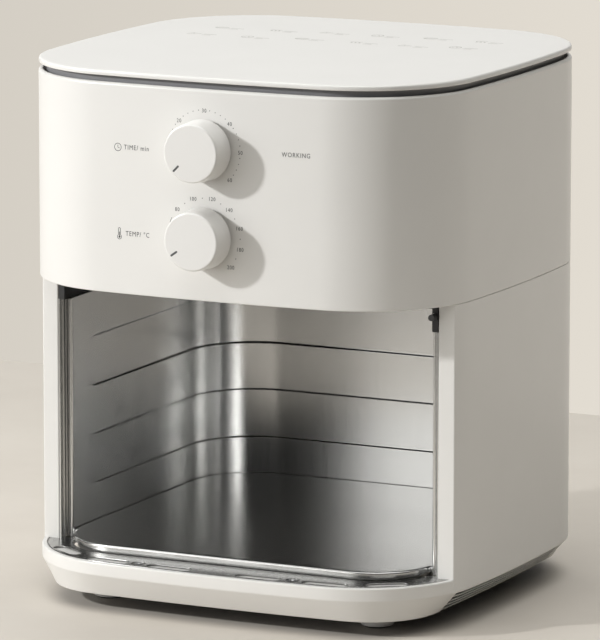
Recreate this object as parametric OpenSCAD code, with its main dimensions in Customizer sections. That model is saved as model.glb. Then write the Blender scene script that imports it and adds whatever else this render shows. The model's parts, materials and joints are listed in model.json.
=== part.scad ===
// Dial air fryer with its drawer taken out: housing, cavity, heater, fan and controls.
// Millimetres. X is to the right, Y to the back, Z up. The origin lies on the table,
// under the middle of the housing. Angles of the dials are counted clockwise from the top,
// as seen from the front.

/* [Housing] */
// Width of the housing at its widest
body_w = 264; // [252:1:290]
// Depth of the housing, without knobs and rear hood
body_d = 255; // [245:1:280]
// Radius of the slight bow of both sides
side_bow_r = 936; // [800:1:1200]
// Radius of the slight bow of the front and the back
front_bow_r = 951; // [800:1:1200]
// Radius of the upright corners
corner_r = 67; // [60:1:72]
// Thickness of the moulded walls
wall = 2.5; // [2:0.1:3]
// Clearance between pieces that lie side by side in the housing
seat_gap = 0.3; // [0.2:0.05:0.5]

/* [Heights] */
// Height of the feet with their pads
foot_h = 9; // [7:0.5:14]
// Height of the slanted foot of the housing
chamfer_h = 12.8; // [11:0.1:16]
// How far the slanted foot draws in
chamfer_in = 8; // [6:0.5:9]
// Height of the upright lip below the opening
lip_h = 7.2; // [6.5:0.1:12]
// Height of the drawer opening
opening_h = 153; // [145:1:180]
// Height of the head with the controls
head_h = 116.5; // [114:0.5:130]
// Height of the dark waist between head and lid
waist_gap = 3.5; // [2:0.1:6]
// Thickness of the lid
lid_t = 3; // [2.5:0.1:5]

/* [Opening and cavity] */
// How far the pillar faces lie behind the front
pillar_set = 49.5; // [46:0.5:52]
// Width of the pillar faces
pillar_w = 14.7; // [14:0.1:16.5]
// Depth of the wall that runs back from each pillar face
pillar_depth = 14; // [10:0.5:15]
// Gap between the pillars' inner faces and the cavity's side walls
cavity_gap = 5.3; // [4.8:0.1:7.3]
// Gap between the cavity's back wall and the back of the housing
cavity_rear = 10.5; // [10.5:0.5:14.5]
// Radius of the cavity's back corners
cavity_r = 40; // [36:0.5:44]
// How far the side walls' front edges lie behind the pillar faces
cavity_set = 7; // [4:0.5:8]
// Thickness of the sheet steel
sheet = 0.8; // [0.6:0.1:1]
// Height of the cavity floor over the sill
floor_step = 4.7; // [4:0.1:6]
// How far the floor's front edge lies behind the front
floor_set = 26; // [24:0.5:29]
// How far the floor stays inside the side walls in front of them
floor_in = 2; // [2:0.5:4]
// Radius of the floor's front corners
floor_r = 36; // [32:0.5:40]
// Height of the lowest pressed panel over the floor
panel_first = 21.5; // [15:0.5:30]
// Height of a pressed panel
panel_h = 28.5; // [20:0.5:32]
// Pitch from one pressed panel to the next
panel_pitch = 56.5; // [50:0.5:60]
// Depth of the pressed panels
panel_step = 1; // [0.6:0.1:1.2]
// How far the panels' front ends lie behind the side walls' front edges
panel_set = 20; // [11:1:31]
// Radius of the rolled front edges
hem_r = 1.3; // [1:0.1:1.5]

/* [Sill] */
// Length of a straight sill slot
slot_len = 25; // [20:1:30]
// Width of a straight sill slot
slot_w = 3; // [2:0.1:4]
// Way from the floor's side edges to the middle of the outer straight slots
slot_in = 43; // [40:0.5:46]
// Pitch of the straight slots
slot_pitch = 39.5; // [36:0.5:44]
// Way from the outer straight slots to the sill screws
sill_screw_in = 19.5; // [18:0.5:21]
// Length of the corner slots
corner_slot_len = 24; // [18:1:26]
// Width of the corner slots
corner_slot_w = 5; // [3:0.5:6]

/* [Feet and base] */
// Radius of a foot
foot_r = 10; // [9:0.5:12]
// Distance of the feet from the sides of the housing
foot_side = 49; // [42:1:62]
// Distance of the feet from the front and the back
foot_end = 45.5; // [40:0.5:57]
// Thickness of a rubber pad
pad_t = 2; // [1:0.1:3]
// Radius of a rubber pad
pad_r = 7.5; // [6:0.5:8]
// Thickness of the base plate
base_t = 2.5; // [2:0.1:3]
// Width of an air slit in the base plate
slit_w = 2.4; // [2:0.1:3]
// Pitch of the air slits
slit_pitch = 7; // [6:0.5:9]
// Number of slats in the air inlet of each side
inlet_slats = 2; // [1:1:3]
// Distance of the air inlets from the front and the back
inlet_end = 52.5; // [50:0.5:67]
// Radius of a screw boss
boss_r = 5; // [4.5:0.1:5.5]

/* [Heater frame] */
// How far the frame's legs hang below the seam
leg_h = 16; // [14:0.5:18]
// Thickness of the frame's legs
leg_t = 4.7; // [4:0.1:4.8]
// Thickness of the frame's deck
deck_t = 2.5; // [2:0.1:3]
// Place of the fan's axis behind the middle
fan_y = 12; // [8:0.5:14]

/* [Heater] */
// Gap between the heat chamber and the cavity's back wall, and from its flange to the sides
chamber_gap = 10; // [9:0.5:12]
// Height of the heat chamber
chamber_h = 38; // [37:0.5:42]
// Radius of the tube that the heating coil is bent from
coil_tube_r = 3.25; // [3:0.05:3.5]
// Gap between the chamber's wall and the middle of the coil's outer turn
coil_gap = 15; // [13:0.5:16]
// Way from the coil's outer turn to its inner turn
coil_pitch = 18; // [17:0.5:19]
// Height of the coil over the chamber's rim
coil_z = 10; // [9:0.5:12]
// Gap between the fan guard and the edge of the chamber's opening
guard_gap = 4; // [2:0.5:8]
// Radius of the guard's wire
wire_r = 1.1; // [1:0.05:1.3]
// Thickness of the insulation on the chamber
pad_h = 5; // [4:0.5:6]

/* [Fan and motor] */
// Radius of the motor shaft
shaft_r = 3; // [2.5:0.1:3.5]
// Radial clearance of a shaft in its bearing
run_gap = 0.05; // [0.03:0.01:0.08]
// Gap between the hot air fan and the middle of the coil's inner turn
hot_fan_gap = 8; // [6:0.5:14]
// Height of the hot air fan
hot_fan_h = 14; // [10:0.5:15]
// Number of its blades
hot_blades = 12; // [8:1:16]
// How much smaller the cooling fan's radius is than the heat chamber's
cool_fan_in = 37; // [35:1:45]
// Height of the cooling fan
cool_fan_h = 12.5; // [10:0.5:13]
// Number of its blades
cool_blades = 9; // [6:1:12]
// Thickness of a fan blade
blade_t = 1.2; // [0.8:0.1:2]
// Height of the motor's iron core
core_h = 20; // [16:0.5:22]
// Radius of the rotor
rotor_r = 15.7; // [14:0.1:17]
// Air gap between rotor and core
rotor_gap = 0.5; // [0.4:0.1:1]

/* [Dials] */
// Height of the head's top over the timer's axis
timer_drop = 33; // [31:0.5:35]
// Way from the timer's axis down to the thermostat's
dial_pitch = 48.3; // [46:0.1:50]
// Radius of a knob at its foot
knob_r = 17; // [15:0.5:19]
// Radius of a knob at its face
knob_face_r = 16.1; // [14:0.1:18]
// How far the knobs stand out of the front
knob_reach = 17; // [14:0.5:20]
// Gap behind a knob
knob_gap = 0.6; // [0.4:0.1:1.2]
// Radius of a knob's front edge
knob_edge = 1; // [0.5:0.1:2]
// Wall of a knob
knob_wall = 2.2; // [1.8:0.1:2.5]
// Radius of the dial shafts
dial_shaft_r = 3; // [2.5:0.1:3.2]
// Angle of the timer's pointer at zero
timer_rest = -135; // [-150:1:-120]
// Angle of the temperature pointer at its low stop
thermo_rest = -125; // [-140:1:-110]
// Radius at which a pointer starts
pointer_in = 9.8; // [6:0.1:11]
// Length of a pointer
pointer_len = 4.9; // [3:0.1:5]
// Width of a pointer
pointer_w = 1.2; // [1:0.1:2]

/* [Rear] */
// How far the rear hood stands out
hood_reach = 15; // [12:0.5:18]
// Half of the rear hood's width
hood_x = 60; // [50:1:60]
// Height of the rear hood
hood_h = 38; // [30:1:40]
// Radius of the bore for the power cord
cord_bore_r = 3.6; // [3:0.1:4]
// Place of the cord inlet to the right
gland_x = 40; // [30:1:48]
// Height of the cord inlet over the seam
gland_z = 18; // [16:0.5:19]

/* [Drawer switch] */
// Radius of the plunger
plunger_r = 1.75; // [1.5:0.05:1.9]
// Travel of the plunger
plunger_travel = 3.5; // [2.5:0.1:4]
// Height of the plunger's axis below the seam
plunger_drop = 7.5; // [6:0.1:9]

/* [Hidden] */

$fn = 72;
long_arc_fn = 240;      // fineness of the four very flat arcs
round_fn = 144;         // fineness of large round pieces
cut = 1;                // how far a cut runs past what it cuts
bite = 0.5;             // how far joined shapes of one moulding reach into each other

// Levels
base_z = foot_h;
crease_z = base_z + chamfer_h;
sill_z = crease_z + lip_h;
seam_z = sill_z + opening_h;
head_z = seam_z + head_h;
lid_z = head_z + waist_gap;
floor_z = sill_z + floor_step;
liner_top = seam_z - leg_h;
deck_z = seam_z + deck_t;
rim_z = deck_z + sheet;                     // the chamber stands on the ceiling plate
chamber_top = rim_z + chamber_h;
insulation_z = chamber_top + pad_h;

// Outline of the housing: four flat arcs, and corner arcs that run into them
half_w = body_w / 2;
half_d = body_d / 2;
side_c = half_w - side_bow_r;               // x of the right side's arc centre
front_c = half_d - front_bow_r;             // y of the back's arc centre
between = norm([side_c, front_c]);
side_in = side_bow_r - corner_r;
front_in = front_bow_r - corner_r;
along = (between * between + side_in * side_in - front_in * front_in) / (2 * between);
aside = sqrt(side_in * side_in - along * along);
to_front = [-side_c, front_c] / between;
corner_c = [side_c, 0] + to_front * along + [-to_front[1], to_front[0]] * aside;
side_a = atan2(corner_c[1], corner_c[0] - side_c);
front_a = atan2(corner_c[1] - front_c, corner_c[0]);

// Opening and cavity: front edges are distances in front of the middle
pillar_x = half_w - pillar_w;
pillar_y = half_d - pillar_set;
cavity_x = pillar_x - cavity_gap;
cavity_back = half_d - cavity_rear;
cavity_front = pillar_y - cavity_set;
panel_front = cavity_front - panel_set;
floor_x = cavity_x - floor_in;
floor_front = half_d - floor_set;

// A place on the corner's diagonal, drawn in by an inset
function corner_at(inset) = corner_c + (corner_r - inset) * [cos(45), sin(45)];
// Outside of the front at x, as a distance in front of the middle
function front_at(x) = front_c + sqrt(front_bow_r * front_bow_r - x * x);
// Points along an arc in the profile of a turned piece
function arc_points(c, r, from, to, steps = 6) =
    [for (i = [0:steps]) c + r * [cos(from + (to - from) * i / steps),
                                  sin(from + (to - from) * i / steps)]];

// Screws: shank radius, head radius and head height, for plastic and for sheet
screw_r = 1.5;
screw_head_r = 3.2;
screw_head_h = 2.2;
pilot_gap = 0.05;
hole_r = screw_r + pilot_gap;

// Base
foot_x = half_w - foot_side;
foot_y = half_d - foot_end;
inlet_half = half_d - inlet_end;
inlet_depth = 18;
inlet_top_gap = 0.5;
inlet_slat_t = 2;
inlet_slat_in = 0.8;
inlet_slat_w = 1.6;
base_inset = chamfer_in + wall + seat_gap;
base_top = base_z + base_t;
boss_inset = chamfer_in + boss_r;
boss_top = crease_z + 2;
base_boss = corner_at(boss_inset);
base_screw_gap = 3;                         // left free above the base screws' tips
slits_each_side = 6;
slit_start = 30;                            // in front of the middle
slit_len = 70;
lip_wall = wall + 0.2;                      // the lip is a little stiffer than the wall
floor_post_r = 5;
floor_post_in = [50, 46.5, 32];             // from the floor's sides, front and back
floor_post_x = floor_x - floor_post_in[0];
floor_post_front = floor_front - floor_post_in[1];
floor_post_back = cavity_back - floor_post_in[2];
floor_posts = [for (x = [-1, 1], y = [-floor_post_front,
    (floor_post_back - floor_post_front) / 2, floor_post_back]) [x * floor_post_x, y]];
foot_draft = 0.8;
foot_recess_gap = 0.2;

// Sill
sill_t = sheet;
sill_ledge_t = 2.5;
sill_ledge_top = sill_z - sill_t;
sill_inset = lip_wall + 2 * seat_gap;
slot_x = [for (i = [0:1]) floor_x - slot_in - i * slot_pitch];
slot_set = 8;                               // behind the front
sill_screw_x = slot_x[0] - sill_screw_in;
sill_screw_set = 14.5;                      // in front of the floor
sill_screw_y = floor_front + sill_screw_set;
sill_screw_head_h = 1.2;
corner_slot_out = 9.3;                      // outside the floor's corner arc
corner_slot_turn = 57;

// Heater frame and what hangs on it
leg_gap = 0.2;
frame_x = cavity_x + leg_gap;
frame_out = frame_x + leg_t;
frame_front = cavity_front + 0.5;
deck_inset = wall + seat_gap;
throat_in = 4;
throat_x = cavity_x - throat_in;
throat_front = pillar_y;
throat_back = cavity_back - throat_in;
throat_r = cavity_r - throat_in;
ceiling_side = 6;                           // how far the ceiling plate laps over the deck
ceiling_front = 14;
ceiling_back = 3;
tab_x = half_w - 7.5;
tab_y = 30;
tab_h = 5;
tab_top = deck_z + tab_h;
frame_boss_h = 30;
frame_screw_bite = 12;
frame_hole_h = frame_screw_bite + 3;
switch_t = 6.4;
switch_len = 20;
switch_h = 10;
switch_fit = 0.2;
switch_set = 4;
switch_drop = 2;
switch_hole_r = 1.2;
switch_hole_z = 2;
pocket_wall = 2;
switch_front = pillar_y - pillar_depth - switch_set;
switch_x = frame_x + 1.4;
plunger_x = frame_x + 2.5;
plunger_z = seam_z - plunger_drop;
plunger_tip = pillar_y + plunger_travel + 0.5;

// Heater
chamber_flange = 7;
chamber_r = min(cavity_x - chamber_flange, cavity_back - fan_y) - chamber_gap;
chamber_lip = 9;
chamber_hole_r = chamber_r - chamber_lip;
coil_outer_r = chamber_r - coil_gap;
coil_inner_r = coil_outer_r - coil_pitch;
coil_level = rim_z + coil_z;
coil_start = 290;
coil_sweep = 330;
coil_end = coil_start + coil_sweep;
coil_mid_r = (coil_outer_r + coil_inner_r) / 2;
coil_end_h = 2;                             // how far its ends stand out of the insulation
coil_end_top = insulation_z + coil_end_h;
coil_hole_r = coil_tube_r + 0.35;
pad_hole_r = coil_hole_r + 0.3;
pad_in = 5;
pad_ring = 4;
clip_angles = [60, 180, 300];
clip_t = 1.2;
clip_drop = 5;
clip_reach = 6;
clip_gap = 0.15;
guard_r = chamber_hole_r - guard_gap;
guard_ring_count = 5;
guard_rings = [for (i = [1:guard_ring_count]) guard_r * i / guard_ring_count];
guard_z = deck_z - wire_r - 0.6;
guard_tab_t = 0.8;
guard_tab_w = 10;
guard_tab_in = 2;
guard_tab_r = chamber_hole_r + 6;
guard_tab_out = guard_tab_r + guard_tab_w / 2;
guard_angles = [90, 210, 330];
guard_screw_len = 4;
guard_screw_head_h = 1.6;

// Fans, motor and its bracket
bearing_r = shaft_r + run_gap;
hub_r = 8;
hub_lap = 1;                                // how far a fan's disc reaches into its hub
blade_turn = 18;
hot_fan_r = coil_inner_r - hot_fan_gap;
hot_fan_gap_top = 6;
hot_fan_top = chamber_top - hot_fan_gap_top;
hot_fan_z = hot_fan_top - hot_fan_h;
fan_nut_r = 6;
fan_nut_h = 5;
cool_fan_r = chamber_r - cool_fan_in;
cool_fan_gap = 4;                           // above and below the cooling fan
cool_fan_z = insulation_z + cool_fan_gap;
duct_r = cool_fan_r + 10;
duct_wall = 2;
duct_x = hood_x - 5;
duct_floor = fan_y + duct_r + 6;
duct_top = cool_fan_z + cool_fan_h + cool_fan_gap;
bracket_t = 1.6;
bracket_z = duct_top + seat_gap;
bracket_top = bracket_z + bracket_t;
bracket_y = 20;
bracket_hole_r = 13;
bracket_slot_w = 14;
bracket_slot_y = 12;
bracket_slot_in = [39, 59];                 // where the slots start, to either side
post_r = 4;
post_x = throat_x;
post_y = 13;
bracket_x = post_x + 5;
post_hole_h = 12;
bracket_screw_len = 9;
bridge_x = 30;
bridge_y = 8;
bridge_t = 2;
bolt_x = 25;
bolt_r = 1.9;
bolt_hole_r = bolt_r + 0.1;
bolt_head_r = 3.6;
bolt_head_h = 2.4;
bolt_nut_r = 4;
bolt_nut_h = 2.4;
spacer_wall = 2.5;
spacer_h = 4.4;
core_z = bracket_top + bridge_t + spacer_h;
core_top = core_z + core_h;
bridge_z = core_top + spacer_h;
bush_r = 7;
bush_h = 5;
bush_gap = 1.5;
bush_top = 0.5;
core_back = 40;
core_front = 22;
limb_x = 16;
window_y = 20;
limb_y = 30;
winding_gap = 0.1;
winding_in = 0.5;
winding_t = 8.6;
bore_r = rotor_r + rotor_gap;
shaft_end = 1;                              // how far the shaft stands out at both ends
shaft_bottom = hot_fan_z - fan_nut_h - shaft_end;
shaft_top = bridge_z + bridge_t + shaft_end;
cutout_r = 8;
cutout_cap_r = 5.5;
cutout_flange_h = 4;
cutout_h = 7;
cutout_at = [40, 30];                       // from the fan's axis

// Lid, waist and the ledge that carries them
ledge_drop = 8.5;
ledge_z = head_z - ledge_drop;
rim_ledge_t = 2.5;
rim_ledge_in = 12;
waist_in = 4.5;
waist_t = 2.5;
skirt_in = waist_in + waist_t + seat_gap;
skirt_t = 2;
skirt_h = 8;
lid_boss_inset = 18;
lid_boss_r = 4.5;
lid_boss = corner_at(lid_boss_inset);
lid_in = 0.2;
lid_edge = 1.1;
lid_top = lid_z + lid_t;

// Controls
control_y = half_d - wall - 3;              // front of the control bracket, as a distance
control_t = 1.2;
control_x = 38;
control_screw_x = 33;
timer_z = head_h - timer_drop;              // over the seam
thermo_z = timer_z - dial_pitch;
control_below = 21;
control_above = 20;
control_low = thermo_z - control_below;
control_high = timer_z + control_above;
control_screw_end = 5;
control_screws_z = [control_low + control_screw_end, control_high - control_screw_end];
control_boss_r = boss_r - 1;
control_screw_gap = 0.3;
bushing_r = 5;
bushing_h = 3;
shaft_hole_r = 5;
timer_half_w = 26;
timer_half_h = 19.5;
timer_depth = 32;
thermo_half_w = 20;
thermo_half_h = 18;
thermo_depth = 22;
bell_r = 15;
bell_h = 8;
bell_t = 1;
bell_stem_r = 3;
bell_gap = 0.5;
lamp_x = 55;
lamp_r = 4;
lamp_gap = 0.2;
lamp_tab = 9;
lamp_back = 14;
lamp_front = 0.8;
lamp_flange = 1.5;
lamp_flange_t = 2;
knob_foot = half_d + knob_gap;
knob_h = knob_reach - knob_gap;
knob_bore_h = 10;
pointer_t = 0.5;
pointer_gap = 0.02;
bulb_r = 2;
bulb_x = 12;
bulb_z = rim_z + 26;
bulb_wall = chamber_r - fan_y;              // the chamber's wall in front of the fan's axis
bulb_hole_h = 10;
bulb_in = 25;
bulb_out = 6;

// Rear
hood_mid_z = cool_fan_z + cool_fan_h / 2;
hood_low = hood_mid_z - hood_h / 2;
hood_wall = 2.5;
hood_root = 6;
slat_t = 1.6;
slat_depth = 6;
slat_pitch = 5.5;
slat_stay = 2;
gland_flange_r = 9;
gland_pad_r = gland_flange_r + 0.5;
gland_r = 6.4;
gland_flange_t = 3;
gland_nut_t = 4;
gland_pad_t = wall + 0.8;                    // wall and pad together
gland_level = seam_z + gland_z;
gland_wall = front_at(gland_x - gland_pad_r);   // a flat pad evens out the bow
gland_in = gland_wall - gland_pad_t - gland_nut_t - 0.6;
gland_out = gland_wall + gland_flange_t;
gland_neck = 0.5;
terminal_size = [24, 14, 12];
terminal_in = [44, 27];                     // from the cavity's side and back walls
terminal_at = [cavity_x - terminal_in[0], cavity_back - terminal_in[1]];
terminal_hole_r = 2;
terminal_holes = [for (i = [-1:1]) terminal_size[0] / 2 + 7 * i];

// Helpers ---------------------------------------------------------------------------------

// A flat shape raised from one level to another
module prism(low, high) translate([0, 0, low]) linear_extrude(high - low) children();

// A turned piece whose axis lies along Y: its own Z points forwards, from distance y0
module turned_forwards(x, z, y0) translate([x, -y0, z]) rotate([90, 0, 0]) children();

// A rod along Y between two distances in front of the middle
module rod_y(x, z, near, far, r) turned_forwards(x, z, near) cylinder(r = r, h = far - near);

// Lines from a corner arc's centre through the places where it meets the side and the front
wedge_reach = 2 * corner_r;
wedge_turn = 1;                             // the wedges open a little further than that
wedge_side = corner_c + wedge_reach * [cos(side_a - wedge_turn), sin(side_a - wedge_turn)];
wedge_front = corner_c + wedge_reach * [cos(front_a + wedge_turn), sin(front_a + wedge_turn)];

module wedge_plan() polygon([corner_c, wedge_side, corner_c + 2 * wedge_reach * [cos(45), sin(45)],
    wedge_front]);

// All that lies outside the wedges of the four corners
module star_plan() {
    quarter = [wedge_side, corner_c, wedge_front];
    polygon([for (p = quarter) p, for (i = [2:-1:0]) [-quarter[i][0], quarter[i][1]],
        for (p = quarter) -p, for (i = [2:-1:0]) [quarter[i][0], -quarter[i][1]]]);
}

// The housing's outline, drawn in by an inset
module outline(inset = 0) {
    intersection() {
        intersection_for(m = [-1, 1]) intersection() {
            translate([m * side_c, 0]) circle(side_bow_r - inset, $fn = long_arc_fn);
            translate([0, m * front_c]) circle(front_bow_r - inset, $fn = long_arc_fn);
        }
        star_plan();
    }
    for (x = [-1, 1], y = [-1, 1])
        translate([x * corner_c[0], y * corner_c[1]]) circle(corner_r - inset, $fn = round_fn);
}

// The outline raised from one level to another while its inset changes evenly
module tapered(low, high, inset_low, inset_high) translate([0, 0, low]) {
    h = high - low;
    intersection() {
        intersection_for(m = [-1, 1]) intersection() {
            translate([m * side_c, 0, 0])
                cylinder(r1 = side_bow_r - inset_low, r2 = side_bow_r - inset_high, h = h,
                    $fn = long_arc_fn);
            translate([0, m * front_c, 0])
                cylinder(r1 = front_bow_r - inset_low, r2 = front_bow_r - inset_high, h = h,
                    $fn = long_arc_fn);
        }
        linear_extrude(h) star_plan();
    }
    for (x = [0, 1], y = [0, 1]) mirror([x, 0, 0]) mirror([0, y, 0]) intersection() {
        translate(corner_c)
            cylinder(r1 = corner_r - inset_low, r2 = corner_r - inset_high, h = h, $fn = round_fn);
        linear_extrude(h) wedge_plan();
    }
}

module outline_ring(outer, inner) difference() {
    outline(outer);
    outline(inner);
}

// A rectangle with round corners, from half its width and its two ends
module rounded(hx, y0, y1, r) {
    translate([-hx, y0 + r]) square([2 * hx, y1 - y0 - 2 * r]);
    translate([-hx + r, y0]) square([2 * (hx - r), y1 - y0]);
    for (x = [-hx + r, hx - r], y = [y0 + r, y1 - r]) translate([x, y]) circle(r);
}

// Everything in front of a line
module in_front_of(y) translate([-body_w, -body_d]) square([2 * body_w, body_d - y]);
module behind(y) translate([-body_w, -y]) square([2 * body_w, 2 * body_d]);

module both_sides() for (m = [0, 1]) mirror([m, 0, 0]) children();

module at_corners(p) for (x = [-1, 1], y = [-1, 1]) translate([x * p[0], y * p[1], 0]) children();

// A cross-head screw: its shank runs down from the origin, its head stands on it
module screw(len, r = screw_r, head_r = screw_head_r, head_h = screw_head_h) difference() {
    union() {
        translate([0, 0, -len]) cylinder(r = r, h = len + bite);
        cylinder(r = head_r, h = head_h);
    }
    for (a = [0, 90]) rotate([0, 0, a])
        translate([-head_r * 0.55, -0.4, head_h * 0.5]) cube([head_r * 1.1, 0.8, head_h]);
}

// Moves what is drawn round the origin to the fan's axis
module at_fan(z = 0) translate([0, fan_y, z]) children();

// Housing ---------------------------------------------------------------------------------

// The slanted foot of the housing, hollow
module slanted_foot() {
    slant = chamfer_in / chamfer_h;
    difference() {
        tapered(base_z, crease_z, chamfer_in, 0);
        tapered(base_z - cut, crease_z + cut, chamfer_in + wall + slant * cut, wall - slant * cut);
    }
}

// The air inlet in the slanted foot of both sides, and the slats that cross it
module side_inlets() both_sides() translate([half_w - inlet_depth, -inlet_half, base_z - cut])
    cube([2 * inlet_depth, 2 * inlet_half, chamfer_h + cut - inlet_top_gap]);

module inlet_slats() for (i = [1:inlet_slats]) {
    f = i / (inlet_slats + 1);
    z = base_z + chamfer_h * f;
    face = chamfer_in * (1 - f) + inlet_slat_in;
    prism(z - inlet_slat_t / 2, z + inlet_slat_t / 2) intersection() {
        outline_ring(face, face + inlet_slat_w);
        both_sides() translate([half_w / 2, -inlet_half - bite])
            square([half_w, 2 * (inlet_half + bite)]);
    }
}

// The floor's front outline, which the sill is cut around
module floor_outline(gap = 0)
    rounded(floor_x + gap, -floor_front - gap, floor_front, floor_r + gap);

module sill_outline(inset, gap) difference() {
    union() {
        intersection() {
            outline(inset);
            in_front_of(pillar_y);
        }
        translate([-pillar_x + seat_gap, -pillar_y - bite])
            square([2 * (pillar_x - seat_gap), pillar_y + bite - cavity_front - hem_r]);
    }
    floor_outline(gap);
}

module lower_shell() color("whitesmoke") difference() {
    union() {
        prism(crease_z, sill_z) outline_ring(0, lip_wall);
        prism(sill_z, seam_z) intersection() {
            outline_ring(0, wall);
            behind(pillar_y);
        }
        difference() {
            slanted_foot();
            side_inlets();
        }
        inlet_slats();
        prism(sill_z - bite, seam_z) intersection() {
            outline(bite / 2);
            both_sides() translate([pillar_x, -pillar_y]) {
                square([half_w, wall]);
                square([wall, pillar_depth]);
            }
        }
        prism(sill_ledge_top - sill_ledge_t, sill_ledge_top)
            sill_outline(wall - bite, 2 * seat_gap);
        at_corners(base_boss) translate([0, 0, base_top])
            cylinder(r = boss_r, h = boss_top - base_top);
        for (x = [-tab_x, tab_x], y = [-tab_y, tab_y])
            translate([x, y, seam_z - frame_boss_h]) cylinder(r = boss_r, h = frame_boss_h);
    }
    at_corners(base_boss) translate([0, 0, base_top - cut])
        cylinder(r = hole_r, h = boss_top - base_top - 1);
    for (x = [-tab_x, tab_x], y = [-tab_y, tab_y])
        translate([x, y, seam_z - frame_hole_h]) cylinder(r = hole_r, h = frame_hole_h + cut);
    for (x = [-sill_screw_x, sill_screw_x]) translate([x, -sill_screw_y, 0])
        cylinder(r = hole_r, h = sill_z);
}

module base_plate() color("gainsboro") {
    difference() {
        prism(base_z, base_top) outline(base_inset);
        at_corners(base_boss) translate([0, 0, base_z - cut])
            cylinder(r = hole_r, h = base_t + 2 * cut);
        at_corners([foot_x, foot_y]) translate([0, 0, base_z - cut])
            cylinder(r = hole_r, h = base_t + 2 * cut);
        for (i = [-slits_each_side:slits_each_side])
            translate([i * slit_pitch - slit_w / 2, -slit_start, base_z - cut])
                cube([slit_w, slit_len, base_t + 2 * cut]);
    }
    for (p = floor_posts) translate([p[0], p[1], base_top - bite])
        cylinder(r = floor_post_r, h = floor_z - sheet - base_top + bite);
}

module feet() color("gainsboro") at_corners([foot_x, foot_y]) difference() {
    translate([0, 0, pad_t / 2])
        cylinder(r1 = foot_r - foot_draft, r2 = foot_r, h = foot_h - pad_t / 2);
    translate([0, 0, pad_t / 2 - cut]) cylinder(r = pad_r + foot_recess_gap, h = pad_t / 2 + cut);
    cylinder(r = hole_r, h = foot_h + cut);
    cylinder(r = screw_head_r + foot_recess_gap, h = pad_t + screw_head_h);
}

module foot_pads() color("dimgray") at_corners([foot_x, foot_y]) cylinder(r = pad_r, h = pad_t);

module foot_screws() color("silver") at_corners([foot_x, foot_y])
    translate([0, 0, pad_t + screw_head_h]) rotate([180, 0, 0])
        screw(base_top - pad_t - screw_head_h);

module base_screws() color("silver") at_corners(base_boss)
    translate([0, 0, base_z]) rotate([180, 0, 0]) screw(boss_top - base_z - base_screw_gap);

// Head: the part of the housing that carries the controls
module upper_shell() color("whitesmoke") difference() {
    union() {
        prism(seam_z, head_z) outline_ring(0, wall);
        prism(ledge_z - rim_ledge_t, ledge_z) {
            outline_ring(wall - bite, rim_ledge_in);
            at_corners(lid_boss) circle(lid_boss_r + 2.5);
        }
        for (x = [-tab_x, tab_x], y = [-tab_y, tab_y])
            translate([x, y, deck_z]) cylinder(r = boss_r, h = tab_top - deck_z);
        for (x = [-control_screw_x, control_screw_x], z = control_screws_z)
            rod_y(x, seam_z + z, control_y, front_at(x) - bite, control_boss_r);
        rod_y(gland_x, gland_level, -gland_wall, -gland_wall + gland_pad_t, gland_pad_r);
    }
    for (z = [timer_z, thermo_z])
        rod_y(0, seam_z + z, half_d - 2 * wall, half_d + cut, shaft_hole_r);
    for (x = [-control_screw_x, control_screw_x], z = control_screws_z)
        rod_y(x, seam_z + z, control_y - cut, control_y + wall, hole_r);
    for (x = [-tab_x, tab_x], y = [-tab_y, tab_y])
        translate([x, y, deck_z - cut]) cylinder(r = hole_r, h = tab_top - deck_z + 2 * cut);
    at_corners(lid_boss) translate([0, 0, ledge_z - rim_ledge_t - cut])
        cylinder(r = hole_r, h = rim_ledge_t + 2 * cut);
    translate([-hood_x + 2 * hood_wall, half_d - 4 * wall, hood_low + 2 * hood_wall])
        cube([2 * hood_x - 4 * hood_wall, 4 * wall + cut, hood_h - 4 * hood_wall]);
    rod_y(gland_x, gland_level, -half_d - cut, -gland_wall + 2 * wall, gland_r + run_gap);
}

module waist_ring() color("dimgray") prism(ledge_z, lid_z) outline_ring(waist_in, waist_in + waist_t);

module top_lid() color("whitesmoke") difference() {
    union() {
        prism(lid_z, lid_top - lid_edge) outline(lid_in);
        tapered(lid_top - lid_edge, lid_top, lid_in, lid_in + lid_edge);
        prism(lid_z - skirt_h, lid_z + bite) outline_ring(skirt_in, skirt_in + skirt_t);
        at_corners(lid_boss) translate([0, 0, ledge_z])
            cylinder(r = lid_boss_r, h = lid_z - ledge_z + bite);
    }
    at_corners(lid_boss) translate([0, 0, ledge_z - cut])
        cylinder(r = hole_r, h = lid_z - ledge_z);
}

module lid_screws() color("silver") at_corners(lid_boss)
    translate([0, 0, ledge_z - rim_ledge_t]) rotate([180, 0, 0]) screw(lid_z - ledge_z);

// Sill and cavity -------------------------------------------------------------------------

module slot(len, w) {
    square([len - w, w], center = true);
    for (x = [-1, 1]) translate([x * (len - w) / 2, 0]) circle(w / 2);
}

module sill_plate() color("silver") prism(sill_z - sill_t, sill_z) difference() {
    sill_outline(sill_inset, seat_gap);
    for (x = slot_x, m = [-1, 1]) translate([m * x, -front_at(x) + slot_set])
        slot(slot_len, slot_w);
    for (m = [-1, 1]) translate([m * sill_screw_x, -sill_screw_y]) circle(hole_r);
    both_sides() translate([floor_x - floor_r, -floor_front + floor_r]) rotate(-corner_slot_turn)
        translate([floor_r + corner_slot_out, 0]) rotate(90) slot(corner_slot_len, corner_slot_w);
}

module sill_screws() color("dimgray") for (x = [-sill_screw_x, sill_screw_x])
    translate([x, -sill_screw_y, sill_z])
        screw(sill_ledge_t + sill_t, head_h = sill_screw_head_h);

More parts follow.
